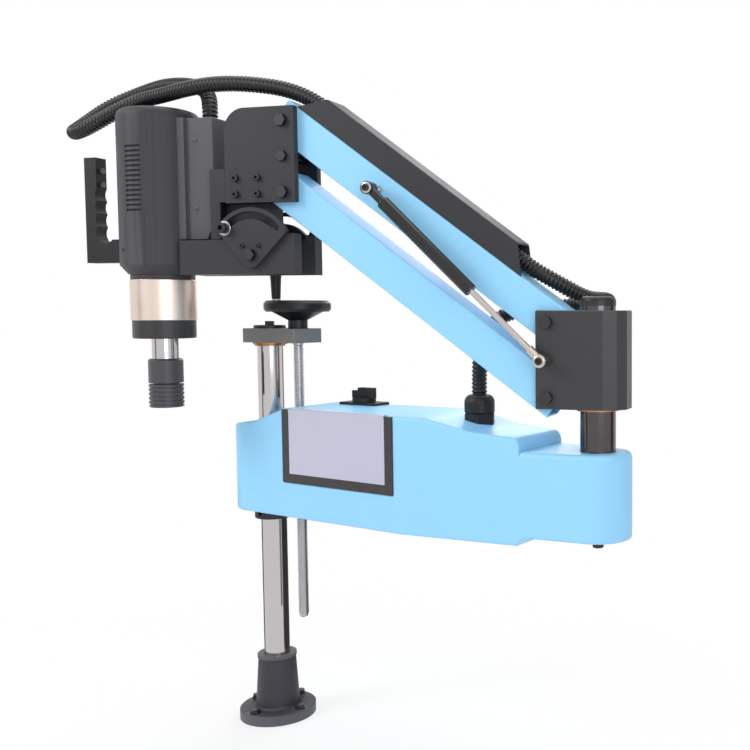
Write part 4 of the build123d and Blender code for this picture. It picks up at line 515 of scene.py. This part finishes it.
SPRING_TOP = (BLOCK_PIN_S + SPRING_ALONG * cos(LINK_ANGLE) - SPRING_OFF * sin(LINK_ANGLE),
              BLOCK_PIN_Z + SPRING_ALONG * sin(LINK_ANGLE) + SPRING_OFF * cos(LINK_ANGLE))
SPRING_LOW = (79.5, 745)
BOTH_SIDES = (1, -1)
YOKE_SCREW_S, YOKE_SCREW_Z = (49.7, 93.7), (-125.15, -97.15)
YOKE_HEAD = socket_head(radius=6.5, height=6.0, flats=5.2, shank=4.0, reach=20)
CLAMP_HEAD = socket_head(radius=9.5, height=11.0, flats=8.2, shank=6.0, reach=40)
SECTOR_HEAD = socket_head(radius=4.2, height=3.5, flats=3.4, shank=2.5, reach=3)
SPRING_HEAD = socket_head(radius=6.4, height=3.2, flats=4.6, shank=3.0, reach=2)
BOX_HEAD = dome_head(radius=4.0, height=2.0, flats=2.6, shank=2.0, reach=3)
MOTOR_HEAD = dome_head(radius=6.0, height=3.6, flats=3.6, shank=3.0, reach=4)

yoke_screws = rings_mesh("yoke_socket_screws", [
    (arm(HEAD_S + s, way * BRACKET_OUT, HEAD_Z + z), FRONT * way, YOKE_HEAD)
    for s in YOKE_SCREW_S for z in YOKE_SCREW_Z for way in BOTH_SIDES], M["bolt"])
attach(yoke_screws, "head_bracket")
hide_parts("yoke_screws")

clamp_screw = rings_mesh("clamp_socket_screw", [
    (arm(CLAMP_S, way * (WASHER_IN + WASHER_T), CLAMP_Z), FRONT * way, CLAMP_HEAD)
    for way in BOTH_SIDES], M["bolt"])
clamp_washers = rings_mesh("clamp_washers", [
    (arm(CLAMP_S, way * WASHER_IN, CLAMP_Z), FRONT * way,
     ((SPACER_BORE_R, 0), (WASHER_R - WASHER_EDGE, 0), (WASHER_R, WASHER_EDGE),
      (WASHER_R, WASHER_T - WASHER_EDGE), (WASHER_R - WASHER_EDGE, WASHER_T), (SPACER_BORE_R, WASHER_T)))
    for way in BOTH_SIDES], M["steel"])
clamp_spacers = rings_mesh("clamp_spacers", [
    (arm(CLAMP_S, way * SPACER_IN, CLAMP_Z), FRONT * way,
     ((SPACER_BORE_R, 0), (SPACER_R, 0), (SPACER_R, SPACER_L), (SPACER_BORE_R, SPACER_L)))
    for way in BOTH_SIDES], M["bolt"])
for o in (clamp_screw, clamp_washers, clamp_spacers):
    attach(o, "head_bracket")
    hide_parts("clamp_bolt")

sector_screws = rings_mesh("sector_screws", [
    (arm(TILT_S + s, way * SECTOR_OUT, TILT_Z + SECTOR_SCREW_UP), FRONT * way, SECTOR_HEAD)
    for s in (SECTOR_SCREW_S, -SECTOR_SCREW_S) for way in BOTH_SIDES], M["bolt"])
box_screws = rings_mesh("box_screws", [
    (arm(BOX_SCREW_S, BOX_HALF_W, z), FRONT, BOX_HEAD) for z in BOX_SCREW_Z], M["button"])
for o in (sector_screws, box_screws):
    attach(o, "tilt_head")
    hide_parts("head_screws")

motor_screw = rings_mesh("motor_dome_screw", [
    (arm(MOTOR_S, 0, MOTOR_SCREW_Z) + MOTOR_SCREW_WAY * (MOTOR_R - MOTOR_SCREW_IN) * MM, MOTOR_SCREW_WAY,
     MOTOR_HEAD)], M["bolt"])
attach(motor_screw, "tilt_head")

SPRING_RING = ((0.2, -1), (9.4, -1), (9.4, 0.6), (8.8, 1.0), (0.2, 1.0))
SPRING_ENDS = (("spring_top", SPRING_TOP, "gas_cylinder"), ("spring_low", SPRING_LOW, "gas_rod"))
for label, (s, z), body in SPRING_ENDS:
    ring = rings_mesh(label + "_ring", [(arm(s, SPRING_RING_O, z), FRONT, SPRING_RING)], M["rod"])
    head = rings_mesh(label + "_screw", [(arm(s, SPRING_SCREW_O, z), FRONT, SPRING_HEAD)], M["bolt"])
    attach(ring, body)
    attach(head, body)


# ---------------------------------------------------------------- housing with its rounded edges
SLEEVE_R, WAIST_X, WAIST_HALF_W, NOSE_R = 68.5, 406.0, 92.0, 57.5
SKIN_IN = 0.06  # how far the rounded form lies inside the CAD housing's faces
# Heights of the roof and floor along the housing, as (x, z) in mm.
ROOF = ((-80, 598), (27, 613), (111, 641), (453, 641), (545, 621), (627, 615.3), (632, 614.2), (636, 611.4),
        (639, 607), (640, 602), (640.01, 592), (820, 592))
FLOOR = ((-80, 432), (634, 432), (648, 446), (820, 446))
NOSE_FROM = 640.005
ROOF_ROUND, FLOOR_ROUND = (6.0, 9.0), (3.5, 4.5)  # edge radius on the box and on the nose
ARCS, EDGE_STEPS, LONGEST_STEP = 12, 5, 30


def outline(inset):
    """Front half of the housing's plan from the sleeve's end to the nose's end, drawn in by an inset."""
    r, w, q = SLEEVE_R - inset, WAIST_HALF_W - inset, NOSE_R - inset
    turn = atan2(WAIST_HALF_W, SHAFT_X - WAIST_X) - np.arcsin(NOSE_R / hypot(SHAFT_X - WAIST_X, WAIST_HALF_W))
    slope = np.arcsin((WAIST_HALF_W - SLEEVE_R) / WAIST_X)
    lead = atan2(WAIST_HALF_W - SLEEVE_R * cos(slope), WAIST_X + SLEEVE_R * sin(slope))
    pts = []
    for i in range(ARCS):
        a = pi - (pi / 2 - lead) * i / ARCS
        pts.append((r * cos(a), r * sin(a)))
    first, waist = (-r * sin(lead), r * cos(lead)), (WAIST_X, w)
    nose = (SHAFT_X + q * sin(turn), q * cos(turn))
    stops = sorted({x for x, _ in ROOF + FLOOR if first[0] < x < nose[0]} | {WAIST_X})
    xs = [first[0]]
    for x in stops + [nose[0]]:
        steps = max(1, int((x - xs[-1]) / LONGEST_STEP))
        xs += [xs[-1] + (x - xs[-1]) * (k + 1) / steps for k in range(steps)]
    for x in xs:
        a, b = (first, waist) if x <= WAIST_X else (waist, nose)
        pts.append((x, a[1] + (b[1] - a[1]) * (x - a[0]) / (b[0] - a[0])))
    for i in range(1, ARCS + 1):
        a = (pi / 2 - turn) * (1 - i / ARCS)
        pts.append((SHAFT_X + q * cos(a), q * sin(a)))
    return pts


def edge_ring(heights, radii, way, step):
    """A closed ring of the form at one step round its roof edge (way -1) or its floor edge (way 1)."""
    a = pi / 2 * step / EDGE_STEPS
    drawn_in = {r: outline(SKIN_IN + r * (1 - cos(a))) for r in radii}
    half = []
    for i, (x, _) in enumerate(outline(SKIN_IN)):
        r = radii[1] if x > NOSE_FROM else radii[0]
        half.append((*drawn_in[r][i], heights[i] + way * (r * (1 - sin(a)))))
    return half + [(x, -y, z) for x, y, z in half[1:-1][::-1]]


def housing_form():
    """Vertices and faces of the housing's outer form, with its roof and floor edges rounded."""
    base = outline(SKIN_IN)
    top = [np.interp(x, *zip(*ROOF)) - SKIN_IN for x, _ in base]
    foot = [np.interp(x, *zip(*FLOOR)) + SKIN_IN for x, _ in base]
    rings = [edge_ring(foot, FLOOR_ROUND, 1, k) for k in reversed(range(EDGE_STEPS + 1))]
    rings += [edge_ring(top, ROOF_ROUND, -1, k) for k in range(EDGE_STEPS + 1)]
    count, length = len(base), len(rings[0])
    faces = []
    for level in range(len(rings) - 1):
        for i in range(length):
            a, b = level * length + i, level * length + (i + 1) % length
            faces.append((a, b, b + length, a + length))
    for start in (0, (len(rings) - 1) * length):
        back = [start] + [start + length - i for i in range(1, count - 1)] + [start + count - 1]
        for i in range(count - 1):
            faces.append(tuple(dict.fromkeys((start + i, start + i + 1, back[i + 1], back[i]))))
    return [v for ring in rings for v in ring], faces


def apply_modifiers(o, keep_layers=False):
    """Put the shape that an object's modifiers give into its own mesh."""
    bpy.context.view_layer.update()
    graph = bpy.context.evaluated_depsgraph_get()
    mesh = bpy.data.meshes.new_from_object(o.evaluated_get(graph), preserve_all_data_layers=keep_layers,
                                           depsgraph=graph)
    o.modifiers.clear()
    o.data = mesh
    return mesh


def rounded_housing():
    """The CAD housing, cut by the form with rounded edges."""
    verts, faces = housing_form()
    form = mesh_object("housing_form", [Vector(v) * MM for v in verts], faces, M["housing"], smooth=False)
    source = NODES["arm_housing"]
    mesh = bpy.data.meshes.new("arm_housing_rounded")
    bm = bmesh.new()
    bm.from_mesh(source.data)
    bm.transform(source.matrix_world)
    bmesh.ops.remove_doubles(bm, verts=bm.verts, dist=1e-6)
    bm.to_mesh(mesh)
    bm.free()
    o = bpy.data.objects.new("arm_housing_rounded", mesh)
    bpy.context.scene.collection.objects.link(o)
    cut = o.modifiers.new("cut", "BOOLEAN")
    cut.operation = "INTERSECT"
    cut.solver = "EXACT"
    cut.object = form
    mesh = apply_modifiers(o)
    bpy.data.objects.remove(form)
    mesh.materials.clear()
    mesh.materials.append(M["housing"])
    mesh.polygons.foreach_set("material_index", [0] * len(mesh.polygons))
    mesh.polygons.foreach_set("use_smooth", [True] * len(mesh.polygons))
    sharp_by_angle(o, 28)
    even = o.modifiers.new("even", "WEIGHTED_NORMAL")
    even.keep_sharp = True
    even.weight = 90
    apply_modifiers(o, keep_layers=True)
    return o


housing = rounded_housing()
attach(housing, "lower_arm")
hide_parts("arm_housing")


# ---------------------------------------------------------------- protective film on the screen
FACE_ANGLE = radians(3.3217)
FACE_ORIGIN = Vector((-SLEEVE_R * sin(FACE_ANGLE), -SLEEVE_R * cos(FACE_ANGLE), 0))
FACE_ALONG = Vector((cos(FACE_ANGLE), -sin(FACE_ANGLE), 0))
FACE_OUT = Vector((-sin(FACE_ANGLE), -cos(FACE_ANGLE), 0))
FILM_LEFT, FILM_RIGHT, FILM_T = 130.6, 376.0, 0.25
# The film's side view, as (out from the housing's face, height) in mm; it bends over towards FOLD_Z.
FILM_LINE = ((1.5, 517.4), (1.5, 634.0), (2.25, 636.2), (2.2, 638.2), (1.4, 639.8), (0.0, 640.7),
             (-2.0, 641.3), (-5.0, 641.5), (-9.0, 641.5))
FOLD_Z, FOLD_H = 641.2, 3


def screen_film():
    """Thin film over the glass, folded over the housing's edge at the top."""
    verts, faces = [], []
    for lift in (0.0, FILM_T):
        for d, z in FILM_LINE:
            out = min(1.0, max(0.0, (FOLD_Z - z) / FOLD_H))
            for x in (FILM_LEFT, FILM_RIGHT):
                p = FACE_ORIGIN + FACE_ALONG * x + FACE_OUT * (d + lift * out) + UP * (z + lift * (1 - out))
                verts.append(p * MM)
    n = len(FILM_LINE)
    for i in range(n - 1):
        a, b = 2 * i, 2 * n + 2 * i
        faces += [(a, a + 1, a + 3, a + 2), (b, b + 2, b + 3, b + 1), (a, a + 2, b + 2, b),
                  (a + 1, b + 1, b + 3, a + 3)]
    faces += [(0, 2 * n, 2 * n + 1, 1), (2 * n - 2, 2 * n - 1, 4 * n - 1, 4 * n - 2)]
    return mesh_object("screen_film_sheet", verts, faces, M["film"])


film = screen_film()
sharp_by_angle(film, 60)
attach(film, "lower_arm")

# ---------------------------------------------------------------- floor, light and camera
def seen_directly(nt):
    """1 for camera, glossy and transmission rays, 0 for the others."""
    lp = nt.nodes.new("ShaderNodeLightPath")
    last = lp.outputs["Is Camera Ray"]
    for name in ("Is Glossy Ray", "Is Transmission Ray"):
        top = nt.nodes.new("ShaderNodeMath")
        top.operation = "MAXIMUM"
        nt.links.new(last, top.inputs[0])
        nt.links.new(lp.outputs[name], top.inputs[1])
        last = top.outputs[0]
    return last


def pale_floor():
    """Pale floor that takes the shadow near the object and fades to white away from it."""
    m = bpy.data.materials.new("pale_floor")
    m.use_nodes = True
    nt = m.node_tree
    n, link = nt.nodes, nt.links.new
    n.clear()
    out = n.new("ShaderNodeOutputMaterial")
    d = n.new("ShaderNodeBsdfDiffuse")
    d.inputs["Color"].default_value = (0.93, 0.93, 0.93, 1)
    e = n.new("ShaderNodeEmission")
    e.inputs["Color"].default_value = (1, 1, 1, 1)
    e.inputs["Strength"].default_value = 1.0
    seen = seen_directly(nt)
    co = n.new("ShaderNodeTexCoord")
    far = n.new("ShaderNodeVectorMath")
    far.operation = "LENGTH"
    link(co.outputs["Object"], far.inputs[0])
    share = n.new("ShaderNodeMapRange")
    share.interpolation_type = "SMOOTHSTEP"
    share.inputs["From Min"].default_value = 0.15
    share.inputs["From Max"].default_value = 1.1
    share.inputs["To Min"].default_value = 0.72
    share.inputs["To Max"].default_value = 1.0
    link(far.outputs["Value"], share.inputs["Value"])
    part = n.new("ShaderNodeMath")
    part.operation = "MULTIPLY"
    link(seen, part.inputs[0])
    link(share.outputs[0], part.inputs[1])
    mix = n.new("ShaderNodeMixShader")
    link(part.outputs[0], mix.inputs[0])
    link(d.outputs[0], mix.inputs[1])
    link(e.outputs[0], mix.inputs[2])
    link(mix.outputs[0], out.inputs[0])
    return m


FLOOR_REACH, FLOOR_Z = 30, -0.0005
floor = mesh_object("studio_floor", [
    (x * FLOOR_REACH, y * FLOOR_REACH, FLOOR_Z) for x, y in ((-1, -1), (1, -1), (1, 1), (-1, 1))],
    [(0, 1, 2, 3)], pale_floor(), smooth=False)


def card_material(name, colour):
    """A matt surface of one colour."""
    m = bpy.data.materials.new(name)
    m.use_nodes = True
    m.node_tree.nodes["Principled BSDF"].inputs["Base Color"].default_value = colour
    m.node_tree.nodes["Principled BSDF"].inputs["Roughness"].default_value = 0.9
    return m


far_card = card_material("reflection_card", srgb(132, 122, 118))
near_card = card_material("near_card", srgb(66, 64, 66))
# Upright cards that only show in reflections, so that bright metal has dark edges to reflect:
# (azimuth in degrees, centre x, distance, width, bottom, top, material), in metres.
CARDS = (
    (-132, 0.35, 2.6, 0.5, -1.0, 2.2, far_card), (34, 0.35, 2.6, 0.9, -1.0, 2.2, far_card),
    (100, 0.35, 2.6, 1.0, -1.0, 2.2, far_card), (70, 0.0, 0.30, 0.70, 0.0, 0.44, near_card),
    (-178, 0.0, 0.30, 0.12, 0.0, 0.44, near_card),
)
for i, (azimuth, centre, distance, width, bottom, top, mat) in enumerate(CARDS):
    a = radians(azimuth)
    mid = Vector((centre + distance * cos(a), distance * sin(a), 0))
    across = Vector((-sin(a), cos(a), 0)) * width / 2
    card = mesh_object("card_%d" % i, [mid - across + UP * bottom, mid + across + UP * bottom,
                                       mid + across + UP * top, mid - across + UP * top],
                       [(0, 1, 2, 3)], mat, smooth=False)
    card.visible_camera = card.visible_diffuse = card.visible_shadow = False
    card.visible_transmission = False

world = bpy.data.worlds.new("studio")
bpy.context.scene.world = world
world.use_nodes = True
nt = world.node_tree
bg = nt.nodes["Background"]
bg.inputs["Color"].default_value = (1, 1, 1, 1)
mr = nt.nodes.new("ShaderNodeMapRange")
mr.inputs["To Min"].default_value = 0.42
mr.inputs["To Max"].default_value = 1.0
nt.links.new(seen_directly(nt), mr.inputs["Value"])
nt.links.new(mr.outputs[0], bg.inputs["Strength"])


def area_light(name, place, target, size, power):
    """A rectangular light at a place, turned to its target."""
    data = bpy.data.lights.new(name, "AREA")
    data.shape = "RECTANGLE"
    data.size, data.size_y = size
    data.energy = power
    o = bpy.data.objects.new(name, data)
    o.location = place
    o.rotation_euler = (Vector(target) - Vector(place)).to_track_quat("-Z", "Y").to_euler()
    bpy.context.scene.collection.objects.link(o)


area_light("key", (-1.6, -2.6, 2.6), (0.3, 0, 0.7), (1.6, 1.6), 62)
area_light("fill", (2.8, -1.8, 1.6), (0.3, 0, 0.7), (1.8, 2.2), 34)
area_light("top", (0.2, 0.4, 3.2), (0.3, 0, 0.6), (2.2, 2.2), 30)
area_light("back", (-0.6, 2.6, 1.8), (0.3, 0, 0.8), (1.6, 1.6), 22)

# The camera that was fitted to the photograph's lines.
SHIFT_PIXELS, PICTURE_PIXELS = 245, 750
CAMERA_DOWN, CAMERA_TURN = 3.78, 27.7
cam_data = bpy.data.cameras.new("photo_camera")
cam_data.sensor_width = 36
cam_data.lens = 48.0
cam_data.shift_x = -SHIFT_PIXELS / PICTURE_PIXELS
cam_data.clip_end = 60
cam = bpy.data.objects.new("photo_camera", cam_data)
cam.location = (1.5574, -1.4531, 0.8294)
cam.rotation_euler = (radians(90 - CAMERA_DOWN), 0, radians(CAMERA_TURN))
bpy.context.scene.collection.objects.link(cam)
bpy.context.scene.camera = cam
bpy.context.scene.view_settings.view_transform = "Standard"
